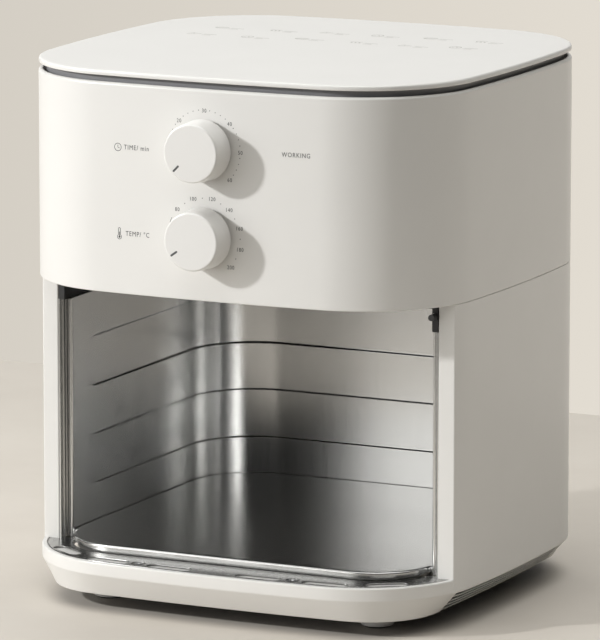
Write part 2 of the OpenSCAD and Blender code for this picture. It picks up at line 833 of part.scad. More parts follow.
module liner_floor() color("darkgray") {
    prism(floor_z - sheet, floor_z) {
        floor_outline();
        rounded(cavity_x + sheet + panel_step, -cavity_front, cavity_back + sheet + panel_step,
            cavity_r + sheet + panel_step);
    }
    prism(sill_ledge_top - sill_ledge_t, floor_z - sheet + 0.1) intersection() {
        difference() {
            floor_outline();
            floor_outline(-sheet);
        }
        in_front_of(cavity_front);
    }
}

// Plan of the cavity wall, pushed out by a step
module liner_plan(step) rounded(cavity_x + step, -2 * half_d, cavity_back + step, cavity_r + step);

module liner_band(low, high, step, front) prism(low, high) intersection() {
    difference() {
        liner_plan(step + sheet);
        liner_plan(step);
    }
    behind(front);
}

module cavity_liner() color("darkgray") {
    levels = [for (i = [0:1]) floor_z + panel_first + i * panel_pitch];
    difference() {
        liner_band(floor_z, liner_top, 0, cavity_front);
        for (z = levels) prism(z, z + panel_h) behind(panel_front);
    }
    for (z = levels) {
        liner_band(z - sheet, z + panel_h + sheet, panel_step, panel_front + sheet);
        for (edge = [z - sheet, z + panel_h]) prism(edge, edge + sheet) intersection() {
            difference() {
                liner_plan(panel_step + sheet);
                liner_plan(0);
            }
            behind(panel_front + sheet);
        }
        both_sides() translate([cavity_x, -panel_front - sheet, z - sheet])
            cube([panel_step + sheet, sheet, panel_h + 2 * sheet]);
    }
    both_sides() {
        translate([cavity_x + hem_r / 2, -cavity_front - hem_r / 4, floor_z])
            cylinder(r = hem_r, h = liner_top - floor_z);
        translate([cavity_x + sheet / 2, -cavity_front, floor_z])
            cube([pillar_x - cavity_x - 2, sheet, liner_top - floor_z]);
    }
}

// A steel strip that lines a pillar's inner face
module trim_strip() {
    translate([pillar_x - sheet, -pillar_y + 0.4, sill_z]) {
        cube([sheet, pillar_depth - 1, liner_top - sill_z]);
        for (y = [3.5, 7]) translate([-0.5, y, 0]) cube([0.6, 0.8, liner_top - sill_z]);
    }
}

module left_trim() color("gray") mirror([1, 0, 0]) trim_strip();
module right_trim() color("gray") trim_strip();

// Frame between cavity and head -----------------------------------------------------------

module frame_legs() intersection() {
    outline(deck_inset);
    union() {
        difference() {
            rounded(frame_out, -2 * half_d, cavity_back + leg_gap + leg_t,
                cavity_r + leg_gap + leg_t);
            rounded(frame_x, -2 * half_d, cavity_back + leg_gap, cavity_r + leg_gap);
            in_front_of(frame_front);
        }
        both_sides() translate([frame_x, -pillar_y + leg_gap])
            square([leg_t, pillar_y - frame_front + bite]);
    }
}

module heater_frame() color("dimgray") difference() {
    union() {
        prism(seam_z, deck_z) difference() {
            outline(deck_inset);
            rounded(throat_x, -throat_front, throat_back, throat_r);
        }
        prism(liner_top, seam_z + bite) frame_legs();
        translate([frame_x, -switch_front - pocket_wall,
            seam_z - switch_h - switch_drop - pocket_wall])
            cube([switch_x - frame_x + switch_t + 1, switch_len + 2 * pocket_wall,
                switch_h + switch_drop + pocket_wall + bite]);
    }
    rod_y(plunger_x, plunger_z, switch_front - 1, pillar_y + cut, plunger_r + run_gap);
    translate([switch_x - switch_fit, -switch_front - switch_fit,
        seam_z - switch_h - switch_drop - switch_fit])
        cube([switch_t + 2 * cut + 1, switch_len + 2 * switch_fit, switch_h + 2 * switch_fit]);
    for (x = [-tab_x, tab_x], y = [-tab_y, tab_y])
        translate([x, y, seam_z - cut]) cylinder(r = hole_r, h = deck_t + 2 * cut);
}

module frame_screws() color("silver") for (x = [-tab_x, tab_x], y = [-tab_y, tab_y])
    translate([x, y, tab_top]) screw(tab_top - seam_z + frame_screw_bite);

module drawer_switch() color("black")
    translate([switch_x, -switch_front, seam_z - switch_h - switch_drop]) difference() {
        cube([switch_t, switch_len, switch_h]);
        for (y = [switch_len / 4, switch_len * 3 / 4]) translate([-cut, y, switch_hole_z])
            rotate([0, 90, 0]) cylinder(r = switch_hole_r, h = switch_t + 2 * cut);
    }

module switch_plunger() color("dimgray")
    rod_y(plunger_x, plunger_z, switch_front + plunger_travel + 0.1, plunger_tip, plunger_r);

module ceiling_plate() color("silver") prism(deck_z, rim_z) difference() {
    rounded(throat_x + ceiling_side, -throat_front - ceiling_front, throat_back + ceiling_back,
        cavity_r);
    translate([0, fan_y]) circle(chamber_hole_r, $fn = round_fn);
    for (a = guard_angles) translate([0, fan_y]) rotate(a) translate([guard_tab_r, 0])
        circle(hole_r);
}

module fan_guard() color("silver") at_fan() {
    for (r = guard_rings) translate([0, 0, guard_z])
        rotate_extrude($fn = round_fn) translate([r, 0]) circle(wire_r, $fn = 24);
    for (a = [30:60:330]) rotate([0, 0, a]) translate([guard_rings[0], 0, guard_z + wire_r * 0.7])
        rotate([0, 90, 0]) cylinder(r = wire_r * 0.8, h = guard_r - guard_rings[0], $fn = 24);
    for (a = guard_angles) rotate([0, 0, a]) difference() {
        translate([guard_r - guard_tab_in, -guard_tab_w / 2, deck_z - guard_tab_t])
            cube([guard_tab_out - guard_r + guard_tab_in, guard_tab_w, guard_tab_t]);
        translate([guard_tab_r, 0, deck_z - guard_tab_t - cut]) cylinder(r = hole_r, h = 2 * cut);
    }
}

module guard_screws() color("silver") at_fan() for (a = guard_angles) rotate([0, 0, a])
    translate([guard_tab_r, 0, deck_z - guard_tab_t]) rotate([180, 0, 0])
        screw(guard_screw_len, head_h = guard_screw_head_h);

// Heater ----------------------------------------------------------------------------------

module heating_coil() color("darkslategray") at_fan(coil_level) {
    for (r = [coil_inner_r, coil_outer_r]) {
        rotate([0, 0, coil_start]) rotate_extrude(angle = coil_sweep, $fn = round_fn)
            translate([r, 0]) circle(coil_tube_r, $fn = 32);
        rotate([0, 0, coil_start]) translate([r, 0, 0]) {
            sphere(coil_tube_r + pilot_gap);
            cylinder(r = coil_tube_r, h = coil_end_top - coil_level);
        }
        rotate([0, 0, coil_end]) translate([r, 0, 0]) sphere(coil_tube_r + pilot_gap);
    }
    rotate([0, 0, coil_end]) translate([coil_mid_r, 0, 0]) rotate_extrude(angle = 180)
        translate([(coil_outer_r - coil_inner_r) / 2, 0]) circle(coil_tube_r, $fn = 32);
}

module coil_clips() color("silver") at_fan() for (a = clip_angles) rotate([0, 0, a])
    difference() {
        translate([coil_inner_r - clip_reach, -clip_t / 2, coil_level - clip_drop])
            cube([coil_pitch + 2 * clip_reach, clip_t,
                chamber_top - sheet - coil_level + clip_drop]);
        for (r = [coil_inner_r, coil_outer_r]) translate([r, -clip_t, coil_level])
            rotate([-90, 0, 0]) cylinder(r = coil_tube_r + clip_gap, h = 2 * clip_t);
    }

module coil_end_holes(r) for (turn = [coil_inner_r, coil_outer_r])
    rotate([0, 0, coil_start]) translate([turn, 0, rim_z + coil_z + 2 * coil_tube_r])
        cylinder(r = r, h = chamber_h + pad_h);

module heat_chamber() color("silver") difference() {
    at_fan() difference() {
        rotate_extrude($fn = round_fn) polygon([
            [chamber_r - sheet, rim_z], [chamber_r + chamber_flange, rim_z],
            [chamber_r + chamber_flange, rim_z + sheet], [chamber_r, rim_z + sheet],
            [chamber_r, chamber_top], [hub_r, chamber_top], [hub_r, chamber_top - sheet],
            [chamber_r - sheet, chamber_top - sheet]]);
        coil_end_holes(coil_hole_r);
    }
    rod_y(bulb_x, bulb_z, bulb_wall - bulb_hole_h, bulb_wall + bulb_hole_h, bulb_r + seat_gap);
}

module insulation_pad() color("beige") at_fan() difference() {
    translate([0, 0, chamber_top]) cylinder(r = chamber_r - pad_in, h = pad_h, $fn = round_fn);
    translate([0, 0, chamber_top - cut]) cylinder(r = hub_r + pad_ring, h = pad_h + 2 * cut);
    coil_end_holes(pad_hole_r);
    translate([cutout_at[0], cutout_at[1], chamber_top - cut])
        cylinder(r = cutout_r + seat_gap, h = pad_h + 2 * cut);
}

module thermal_cutout() color("black") at_fan(chamber_top) translate(cutout_at) {
    cylinder(r = cutout_r, h = cutout_flange_h);
    cylinder(r = cutout_cap_r, h = cutout_h);
}

// Fans and motor --------------------------------------------------------------------------

module fan_hub(low, high) difference() {
    translate([0, 0, low]) cylinder(r = hub_r, h = high - low);
    translate([0, 0, low - cut]) cylinder(r = bearing_r, h = high - low + 2 * cut);
}

module fan_disc(low, r) difference() {
    translate([0, 0, low]) cylinder(r = r, h = blade_t, $fn = round_fn);
    translate([0, 0, low - cut]) cylinder(r = hub_r - hub_lap, h = blade_t + 2 * cut);
}

module fan_blades(count, low, high, r_in, r_out) for (i = [0:count - 1])
    rotate([0, 0, i * 360 / count]) translate([r_in, -blade_t / 2, low]) rotate([0, 0, blade_turn])
        cube([(r_out - r_in) * 1.02, blade_t, high - low]);

module hot_fan() color("lightgray") at_fan() {
    fan_hub(hot_fan_z, hot_fan_top);
    fan_disc(hot_fan_top - blade_t, hot_fan_r);
    fan_blades(hot_blades, hot_fan_z, hot_fan_top - blade_t / 2, hot_fan_r * 0.4, hot_fan_r * 0.96);
}

module fan_nut() color("gold") at_fan(hot_fan_z - fan_nut_h) difference() {
    cylinder(r = fan_nut_r, h = fan_nut_h, $fn = 6);
    translate([0, 0, -cut]) cylinder(r = bearing_r, h = fan_nut_h + 2 * cut);
}

module fan_shaft() color("silver") at_fan(shaft_bottom)
    cylinder(r = shaft_r, h = shaft_top - shaft_bottom);

module cooling_fan() color("black") at_fan() {
    fan_hub(cool_fan_z, cool_fan_z + cool_fan_h);
    fan_disc(cool_fan_z, cool_fan_r);
    fan_blades(cool_blades, cool_fan_z + blade_t / 2, cool_fan_z + cool_fan_h,
        cool_fan_r * 0.35, cool_fan_r * 0.96);
}

module duct_plan(grow) {
    translate([0, fan_y]) circle(duct_r + grow, $fn = round_fn);
    translate([-duct_x - grow, fan_y]) square([2 * (duct_x + grow), half_d]);
}

module air_duct() color("dimgray") {
    prism(insulation_z, duct_top) intersection() {
        difference() {
            duct_plan(duct_wall);
            duct_plan(0);
        }
        outline(deck_inset);
    }
    prism(insulation_z, insulation_z + duct_wall) intersection() {
        translate([-duct_x - bite, duct_floor]) square([2 * (duct_x + bite), half_d]);
        outline(deck_inset);
    }
}

module motor_bracket() color("silver") difference() {
    at_fan(bracket_z) translate([-bracket_x, -bracket_y, 0])
        cube([2 * bracket_x, 2 * bracket_y, bracket_t]);
    at_fan(bracket_z - cut) {
        cylinder(r = bracket_hole_r, h = bracket_t + 2 * cut);
        for (x = [-bolt_x, bolt_x]) translate([x, 0, 0])
            cylinder(r = bolt_hole_r, h = bracket_t + 2 * cut);
        for (x = [-post_x, post_x], y = [-post_y, post_y]) translate([x, y, 0])
            cylinder(r = hole_r, h = bracket_t + 2 * cut);
        for (x = bracket_slot_in) both_sides() translate([x, -bracket_slot_y, 0])
            cube([bracket_slot_w, 2 * bracket_slot_y, bracket_t + 2 * cut]);
    }
}

module at_posts(z) at_fan(z) for (x = [-post_x, post_x], y = [-post_y, post_y])
    translate([x, y, 0]) children();

module bracket_posts() color("silver") at_posts(rim_z) difference() {
    cylinder(r = post_r, h = bracket_z - rim_z, $fn = 6);
    translate([0, 0, bracket_z - rim_z - post_hole_h]) cylinder(r = hole_r, h = post_hole_h + cut);
}

module bracket_screws() color("silver") at_posts(bracket_top) screw(bracket_screw_len);

// A strap with a bearing bush, and spacers towards the core
module bearing_bridge(strap_z, bush_low, bush_high, spacer_z) at_fan() difference() {
    union() {
        translate([-bridge_x, -bridge_y, strap_z]) cube([2 * bridge_x, 2 * bridge_y, bridge_t]);
        translate([0, 0, bush_low]) cylinder(r = bush_r, h = bush_high - bush_low);
        for (x = [-bolt_x, bolt_x]) translate([x, 0, spacer_z])
            cylinder(r = bolt_r + spacer_wall, h = spacer_h);
    }
    translate([0, 0, bush_low - cut]) cylinder(r = bearing_r, h = bush_high - bush_low + 2 * cut);
    for (x = [-bolt_x, bolt_x]) translate([x, 0, strap_z - spacer_h - cut])
        cylinder(r = bolt_hole_r, h = bridge_t + 2 * spacer_h + 2 * cut);
}

module lower_bearing_bridge() color("silver")
    bearing_bridge(bracket_top, bracket_top, bracket_top + bush_h, bracket_top + bridge_t);

module upper_bearing_bridge() color("silver")
    bearing_bridge(bridge_z, core_top + bush_gap, bridge_z + bridge_t + bush_top, core_top);

module motor_core() color("gray") at_fan() prism(core_z, core_top) difference() {
    translate([-bridge_x, -core_front]) square([2 * bridge_x, core_front + core_back]);
    circle(bore_r);
    translate([-limb_x, window_y]) square([2 * limb_x, limb_y - window_y]);
    for (x = [-bolt_x, bolt_x]) translate([x, 0]) circle(bolt_hole_r);
}

module motor_winding() color("chocolate") at_fan() difference() {
    translate([-limb_x + winding_in, limb_y - winding_t, core_z - winding_t / 2])
        cube([2 * (limb_x - winding_in), core_back - limb_y + 2 * winding_t, core_h + winding_t]);
    translate([-limb_x, limb_y - winding_gap, core_z - winding_gap])
        cube([2 * limb_x, core_back - limb_y + 2 * winding_gap, core_h + 2 * winding_gap]);
}

module motor_rotor() color("lightgray") at_fan(core_z) difference() {
    cylinder(r = rotor_r, h = core_h);
    translate([0, 0, -cut]) cylinder(r = bearing_r, h = core_h + 2 * cut);
}

module motor_bolts() color("silver") at_fan() for (x = [-bolt_x, bolt_x]) translate([x, 0, 0]) {
    translate([0, 0, bridge_z + bridge_t])
        screw(bridge_z + bridge_t - bracket_z + bolt_nut_h, bolt_r, bolt_head_r, bolt_head_h);
    translate([0, 0, bracket_z - bolt_nut_h]) cylinder(r = bolt_nut_r, h = bolt_nut_h, $fn = 6);
}

// Rear ------------------------------------------------------------------------------------

module rear_hood() color("whitesmoke") difference() {
    union() {
        difference() {
            translate([-hood_x, half_d - hood_root, hood_low])
                cube([2 * hood_x, hood_root + hood_reach, hood_h]);
            translate([-hood_x + hood_wall, half_d - hood_root - cut, hood_low + hood_wall])
                cube([2 * (hood_x - hood_wall), hood_root + hood_reach + 2 * cut,
                    hood_h - 2 * hood_wall]);
        }
        for (z = [hood_low + slat_pitch : slat_pitch : hood_low + hood_h - slat_pitch])
            translate([-hood_x + bite, half_d + hood_reach - slat_depth, z - slat_t / 2])
                cube([2 * (hood_x - bite), slat_depth, slat_t]);
        for (x = [-hood_x / 3, hood_x / 3])
            translate([x - slat_stay / 2, half_d + hood_reach - slat_depth, hood_low + bite])
                cube([slat_stay, slat_depth, hood_h - 2 * bite]);
    }
    prism(hood_low - cut, hood_low + hood_h + cut) outline(-seat_gap);
}

module cord_gland() color("black") difference() {
    union() {
        rod_y(gland_x, gland_level, -gland_out, -gland_wall, gland_flange_r);
        rod_y(gland_x, gland_level, -gland_out + gland_neck, -gland_in, gland_r);
    }
    rod_y(gland_x, gland_level, -gland_out - cut, -gland_in + cut, cord_bore_r);
}

module gland_nut() color("dimgray") difference() {
    turned_forwards(gland_x, gland_level, -gland_wall + gland_pad_t + gland_nut_t)
        cylinder(r = gland_flange_r, h = gland_nut_t - 1, $fn = 6);
    rod_y(gland_x, gland_level, -gland_wall, -gland_in + cut, gland_r + run_gap);
}

module terminal_block() color("ivory") translate([terminal_at[0], terminal_at[1], rim_z])
    difference() {
        cube(terminal_size);
        for (x = terminal_holes) translate([x, terminal_size[1] / 2, terminal_size[2] / 2])
            cylinder(r = terminal_hole_r, h = terminal_size[2] / 2 + cut);
    }

// Controls --------------------------------------------------------------------------------

module control_bracket() color("silver") difference() {
    union() {
        translate([-control_x, -control_y, seam_z + control_low])
            cube([2 * control_x, control_t, control_high - control_low]);
        translate([0, -control_y, seam_z + timer_z - lamp_tab])
            cube([lamp_x + lamp_tab, control_t, 2 * lamp_tab]);
    }
    for (z = [timer_z, thermo_z])
        rod_y(0, seam_z + z, control_y - 2 * control_t, control_y + cut, bushing_r + seat_gap);
    for (x = [-control_screw_x, control_screw_x], z = control_screws_z)
        rod_y(x, seam_z + z, control_y - 2 * control_t, control_y + cut, hole_r);
    rod_y(lamp_x, seam_z + timer_z, control_y - 2 * control_t, control_y + cut, lamp_r + lamp_gap);
}

module control_screws() color("silver")
    for (x = [-control_screw_x, control_screw_x], z = control_screws_z)
        turned_forwards(x, seam_z + z, control_y - control_t) rotate([180, 0, 0])
            screw(control_t + wall - control_screw_gap);

// A control body behind the bracket, with its bushing in front
module control_body(z, hx, hz, depth) difference() {
    union() {
        translate([-hx, -control_y + control_t, seam_z + z - hz]) cube([2 * hx, depth, 2 * hz]);
        rod_y(0, seam_z + z, control_y - control_t - bite, control_y + bushing_h - 1, bushing_r);
    }
    rod_y(0, seam_z + z, control_y - control_t - depth / 2, control_y + bushing_h,
        dial_shaft_r + run_gap);
}

module timer_body() color("ivory") control_body(timer_z, timer_half_w, timer_half_h, timer_depth);
module thermostat_body() color("ivory")
    control_body(thermo_z, thermo_half_w, thermo_half_h, thermo_depth);

module timer_bell() color("gold")
    translate([0, -control_y + control_t + timer_depth, seam_z + timer_z]) rotate([-90, 0, 0])
        rotate_extrude() polygon([[0, 0], [bell_stem_r, 0], [bell_stem_r, bell_h - bell_t],
            [bell_r - bell_t, bell_h - bell_t], [bell_r - bell_t, bell_gap], [bell_r, bell_gap],
            [bell_r, bell_h - bell_t], [bell_r - bell_t, bell_h], [0, bell_h]]);

module dial_shaft(z, depth) rod_y(0, seam_z + z, control_y - control_t - depth / 2 + 0.5,
    knob_foot + knob_bore_h, dial_shaft_r);

module timer_shaft() color("silver") dial_shaft(timer_z, timer_depth);
module thermostat_shaft() color("silver") dial_shaft(thermo_z, thermo_depth);

// The pointer's plan on a knob's face, with its own Y towards the top
module pointer_plan(angle, w) rotate(-angle) translate([0, pointer_in + pointer_len / 2])
    rotate(90) slot(pointer_len, w);

module knob(z, angle) turned_forwards(0, seam_z + z, knob_foot) difference() {
    rotate_extrude($fn = round_fn) difference() {
        polygon(concat([[0, 0], [knob_r, 0]],
            arc_points([knob_face_r - knob_edge, knob_h - knob_edge], knob_edge, 0, 90),
            [[0, knob_h]]));
        polygon([[knob_wall + dial_shaft_r + run_gap, -cut], [knob_r - knob_wall, -cut],
            [knob_face_r - knob_wall, knob_h - knob_wall],
            [knob_wall + dial_shaft_r + run_gap, knob_h - knob_wall]]);
        translate([0, -cut]) square([dial_shaft_r + run_gap, knob_bore_h + cut + 0.2]);
    }
    translate([0, 0, knob_h - pointer_t]) linear_extrude(pointer_t + cut)
        pointer_plan(angle, pointer_w);
}

module pointer(z, angle) turned_forwards(0, seam_z + z, knob_foot + knob_h - pointer_t)
    linear_extrude(pointer_t) pointer_plan(angle, pointer_w - 2 * pointer_gap);

module timer_knob() color("whitesmoke") knob(timer_z, timer_rest);
module timer_pointer() color("dimgray") pointer(timer_z, timer_rest);
module temp_knob() color("whitesmoke") knob(thermo_z, thermo_rest);
module temp_pointer() color("dimgray") pointer(thermo_z, thermo_rest);

// Copper bulb in the chamber, and the capillary from the thermostat to it
module sensor_bulb() color("peru") {
    rod_y(bulb_x, bulb_z, bulb_wall - bulb_in, bulb_wall + bulb_out, bulb_r);
    rod_y(bulb_x, bulb_z, bulb_wall + bulb_out - bite, control_y - control_t - thermo_depth,
        bulb_r / 2);
}

module indicator_lamp() color("orange") {
    rod_y(lamp_x, seam_z + timer_z, control_y - lamp_back, control_y + lamp_front, lamp_r);
    rod_y(lamp_x, seam_z + timer_z, control_y - control_t - lamp_flange_t, control_y - control_t,
        lamp_r + lamp_flange);
}

lower_shell();
base_plate();
feet();
foot_pads();
foot_screws();
base_screws();
upper_shell();
waist_ring();
top_lid();
lid_screws();
sill_plate();
sill_screws();
liner_floor();
cavity_liner();
left_trim();
right_trim();
heater_frame();
frame_screws();
ceiling_plate();
fan_guard();
guard_screws();
heating_coil();
coil_clips();
heat_chamber();
insulation_pad();
hot_fan();
fan_nut();
fan_shaft();
cooling_fan();
air_duct();
motor_bracket();
bracket_posts();
bracket_screws();
lower_bearing_bridge();
upper_bearing_bridge();
motor_core();
motor_winding();
motor_rotor();
motor_bolts();
thermal_cutout();
rear_hood();
cord_gland();
gland_nut();
terminal_block();
control_bracket();
control_screws();
timer_body();
timer_bell();
timer_shaft();
timer_knob();
timer_pointer();
thermostat_body();
thermostat_shaft();
temp_knob();
temp_pointer();
sensor_bulb();
indicator_lamp();
drawer_switch();
switch_plunger();
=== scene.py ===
"""The looks of an air fryer whose drawer is taken out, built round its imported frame.

Lengths are in millimetres until a piece is finished, which turns them into metres.
X is to the right, Y to the back and Z up, as in the frame.
"""
import json
import math

import bmesh
import bpy
from mathutils import Matrix, Vector


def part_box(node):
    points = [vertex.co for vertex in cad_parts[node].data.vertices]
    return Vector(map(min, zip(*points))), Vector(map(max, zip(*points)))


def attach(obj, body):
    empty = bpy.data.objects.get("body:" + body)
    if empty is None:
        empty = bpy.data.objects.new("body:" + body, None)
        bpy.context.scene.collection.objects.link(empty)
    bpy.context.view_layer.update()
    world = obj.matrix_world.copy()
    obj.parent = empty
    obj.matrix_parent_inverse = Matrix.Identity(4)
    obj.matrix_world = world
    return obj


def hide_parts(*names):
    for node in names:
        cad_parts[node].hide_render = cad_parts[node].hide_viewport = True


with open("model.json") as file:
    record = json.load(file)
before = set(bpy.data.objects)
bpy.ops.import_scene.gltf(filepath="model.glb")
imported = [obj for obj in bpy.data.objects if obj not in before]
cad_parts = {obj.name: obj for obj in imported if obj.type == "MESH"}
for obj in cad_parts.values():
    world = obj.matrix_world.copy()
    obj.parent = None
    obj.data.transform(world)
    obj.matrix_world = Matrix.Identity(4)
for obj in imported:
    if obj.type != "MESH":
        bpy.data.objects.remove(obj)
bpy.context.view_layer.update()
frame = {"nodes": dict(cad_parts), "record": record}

MM = 0.001


def box_mm(node):
    """Lowest and highest corner of a node of the frame."""
    low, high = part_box(node)
    return low / MM, high / MM


def middle(node):
    """Middle of a node's box."""
    low, high = box_mm(node)
    return (low + high) / 2


# Sizes --------------------------------------------------------------------------------------

# Heights and half sizes that the frame gives
SHELL_LOW, SHELL_HIGH = box_mm("lower_shell")
HEAD_LOW, HEAD_HIGH = box_mm("upper_shell")
WAIST_LOW, WAIST_HIGH = box_mm("waist_ring")
LID_LOW, LID_HIGH = box_mm("top_lid")
FLOOR_LOW, FLOOR_HIGH = box_mm("liner_floor")
HALF_W, HALF_D = SHELL_HIGH.x, SHELL_HIGH.y
BASE_Z, SEAM_Z = SHELL_LOW.z, SHELL_HIGH.z
SILL_Z = box_mm("sill_plate")[1].z
LINER_TOP = box_mm("cavity_liner")[1].z
FAN_Y = middle("heat_chamber").y
TIMER_Z = middle("timer_knob").z
TEMP_Z = middle("temp_knob").z
FACE_Y = -box_mm("timer_knob")[0].y

# Foot
CREASE_Z = 21.8             # where the slanted foot meets the upright wall
BASE_X = HALF_W - 14.5      # half sizes of the foot's bottom edge, which is squarer than the walls
BASE_Y = HALF_D - 9.5
BASE_R = 40
BASE_BOW = 1.8              # how much its sides draw in towards the corners
BASE_BOW_AT = 75            # where they have drawn in that much
INLET_HALF = 75             # half of the air inlets' length
INLET_TOP = 21.3
WALL = 2.5
LIP_WALL = 2.7

# Plan of the housing: flat arcs on all four sides, and corner arcs that run into them
SIDE_BOW = 936
FRONT_BOW = 951
CORNER = 67
SIDE_C = HALF_W - SIDE_BOW
BACK_C = HALF_D - FRONT_BOW

# Opening and cavity
PILLAR_X = HALF_W - 14.7    # half of the way between the pillars
PILLAR_Y = HALF_D - 49.5    # how far the pillar faces lie in front of the middle
PILLAR_DEPTH = 14
CAVITY_X = HALF_W - 20
CAVITY_BACK = HALF_D - 10.5
CAVITY_FRONT = PILLAR_Y - 7
CAVITY_R = 40
CAVITY_CORNER = (CAVITY_X - CAVITY_R, CAVITY_BACK - CAVITY_R)
PANEL_START = 20            # the pressed panels start this far behind the cavity's front
PANEL_H = 28.5
PANEL_FIRST = 21.5          # the lower one's bottom edge over the floor
PANEL_PITCH = 56.5
FLOOR_X = CAVITY_X - 2
FLOOR_FRONT = HALF_D - 26
FLOOR_R = 36
SHEET = 0.8
DECK_T = 2.5                # thickness of the heater frame's deck and of the base plate

SCREW_HEAD = 3.2
INK = 0.04                  # thickness of a print
PRINT_PROUD = 0.05          # how far print stands on what it is printed on
NEAR = 0.01                 # how far past a limit a column still counts as on it


# Shapes -------------------------------------------------------------------------------------

def polar(cx, cy, r, angle):
    """The point at an angle in degrees, r away from a centre."""
    a = math.radians(angle)
    return cx + r * math.cos(a), cy + r * math.sin(a)


def arc(cx, cy, r, start, end, steps):
    """Points on an arc, angles in degrees."""
    return [polar(cx, cy, r, start + (end - start) * i / steps) for i in range(steps + 1)]


def circle(cx, cy, r, steps):
    """Points on a whole circle."""
    return arc(cx, cy, r, 0, 360, steps)[:-1]


def rectangle(x0, x1, y0, y1):
    """Corners of a rectangle, anticlockwise."""
    return [(x0, y0), (x1, y0), (x1, y1), (x0, y1)]


def mirrored(points):
    """The mirror image of a line, run the other way."""
    return [(-x, y) for x, y in reversed(points)]


def round_rectangle(half, front, back, r):
    """Anticlockwise line of a rectangle with round corners, from half its width and its two ends."""
    right = arc(half - r, front + r, r, -90, 0, 16) + arc(half - r, back - r, r, 0, 90, 16)
    return right + mirrored(right)


def turned(line, angle, x=0, y=0):
    """A line turned about the origin by degrees, then moved to (x, y)."""
    c, s = math.cos(math.radians(angle)), math.sin(math.radians(angle))
    return [(x + a * c - b * s, y + a * s + b * c) for a, b in line]


def slot_line(x, y, length, width, angle=0):
    """The line round a slot with round ends, turned about its middle by degrees."""
    reach, r = (length - width) / 2, width / 2
    return turned(arc(reach, 0, r, -90, 90, 10) + arc(-reach, 0, r, 90, 270, 10), angle, x, y)


def rounded(corners, steps=4):
    """A closed line through corners (a, b, radius). A corner without a radius stays one point."""
    line = []
    for i, (a, b, *radius) in enumerate(corners):
        if not radius:
            line.append((a, b))
            continue
        radius, p = radius[0], Vector((a, b))
        before = (Vector(corners[i - 1][:2]) - p).normalized()
        after = (Vector(corners[(i + 1) % len(corners)][:2]) - p).normalized()
        half = before.angle(after) / 2
        centre = p + (before + after).normalized() * (radius / math.sin(half))
        ends = [p + way * (radius / math.tan(half)) - centre for way in (before, after)]
        first, last = [math.atan2(e.y, e.x) for e in ends]
        turn = (last - first + math.pi) % (2 * math.pi) - math.pi
        for k in range(steps + 1):
            angle = first + turn * k / steps
            line.append((centre.x + radius * math.cos(angle), centre.y + radius * math.sin(angle)))
    return line


def corner_centre():
    """Centre of the housing's right back corner arc."""
    side, back = Vector((SIDE_C, 0)), Vector((0, BACK_C))
    gap = (back - side).length
    side_in, back_in = SIDE_BOW - CORNER, FRONT_BOW - CORNER
    along = (gap ** 2 + side_in ** 2 - back_in ** 2) / (2 * gap)
    aside = math.sqrt(side_in ** 2 - along ** 2)
    way = (back - side) / gap
    return side + way * along + Vector((-way.y, way.x)) * aside


CORNER_C = corner_centre()


def front_at(x):
    """How far the front lies in front of the middle at x."""
    return BACK_C + math.sqrt(FRONT_BOW ** 2 - x ** 2)


def outline(cut_x=(), cut_y=()):
    """The housing's plan as columns (x, y, normal x, normal y), anticlockwise from the right front.

    cut_x and cut_y add columns at exact places."""
    cx, cy = CORNER_C
    side_a = math.atan2(cy, cx - SIDE_C)
    back_a = math.atan2(cy - BACK_C, cx)
    half, full = math.pi, 2 * math.pi
    corner_steps, side_steps, front_steps = 26, 16, 20
    arcs = [(SIDE_C, 0, SIDE_BOW, -side_a, side_a, side_steps),
            (cx, cy, CORNER, side_a, back_a, corner_steps),
            (0, BACK_C, FRONT_BOW, back_a, half - back_a, front_steps),
            (-cx, cy, CORNER, half - back_a, half - side_a, corner_steps)]
    arcs += [(-ax, -ay, r, half + start, half + end, n) for ax, ay, r, start, end, n in arcs]
    columns = []
    for ax, ay, r, start, end, n in arcs:
        angles = [start + (end - start) * i / n for i in range(n)]
        wanted = [(math.acos, (x - ax) / r) for x in cut_x]
        wanted += [(math.asin, (y - ay) / r) for y in cut_y]
        for inverse, share in wanted:
            if abs(share) < 1:
                a = inverse(share)
                other = -a if inverse is math.acos else half - a
                angles += [b + t for b in (a, other) for t in (0, full) if start < b + t < end]
        for a in sorted(angles):
            columns.append((ax + r * math.cos(a), ay + r * math.sin(a), math.cos(a), math.sin(a)))
    return columns


def foot_inset(x, y, nx, ny):
    """How far the slanted foot draws in from a column of the walls to its bottom edge."""
    inset = 0
    for _ in range(16):
        u, v = abs(x - inset * nx), abs(y - inset * ny)
        a = u + BASE_R - BASE_X + BASE_BOW * min(1, v / BASE_BOW_AT) ** 2
        b = v + BASE_R - BASE_Y + BASE_BOW * min(1, u / BASE_BOW_AT) ** 2
        inset += math.hypot(max(a, 0), max(b, 0)) + min(max(a, b), 0) - BASE_R
    return inset


def drawn_in(columns, inset):
    """The line that lies inside columns by an inset, which may be a function of the column."""
    insets = [inset(*column) if callable(inset) else inset for column in columns]
    return [(x - nx * d, y - ny * d) for (x, y, nx, ny), d in zip(columns, insets)]


def stretch(columns, axis, half, beside):
    """Places of the columns whose way to the next one stays within half of the middle."""
    return {i for i, near in enumerate(columns) if beside(near)
            and max(abs(near[axis]), abs(columns[(i + 1) % len(columns)][axis])) < half + NEAR}


def inlet_run(side):
    """The columns along the air inlet of one side, anticlockwise."""
    run = [c for c in outline(cut_y=(-INLET_HALF, INLET_HALF))
           if c[0] * side > HALF_W / 2 and abs(c[1]) < INLET_HALF + NEAR]
    return sorted(run, key=lambda c: c[1] * side)


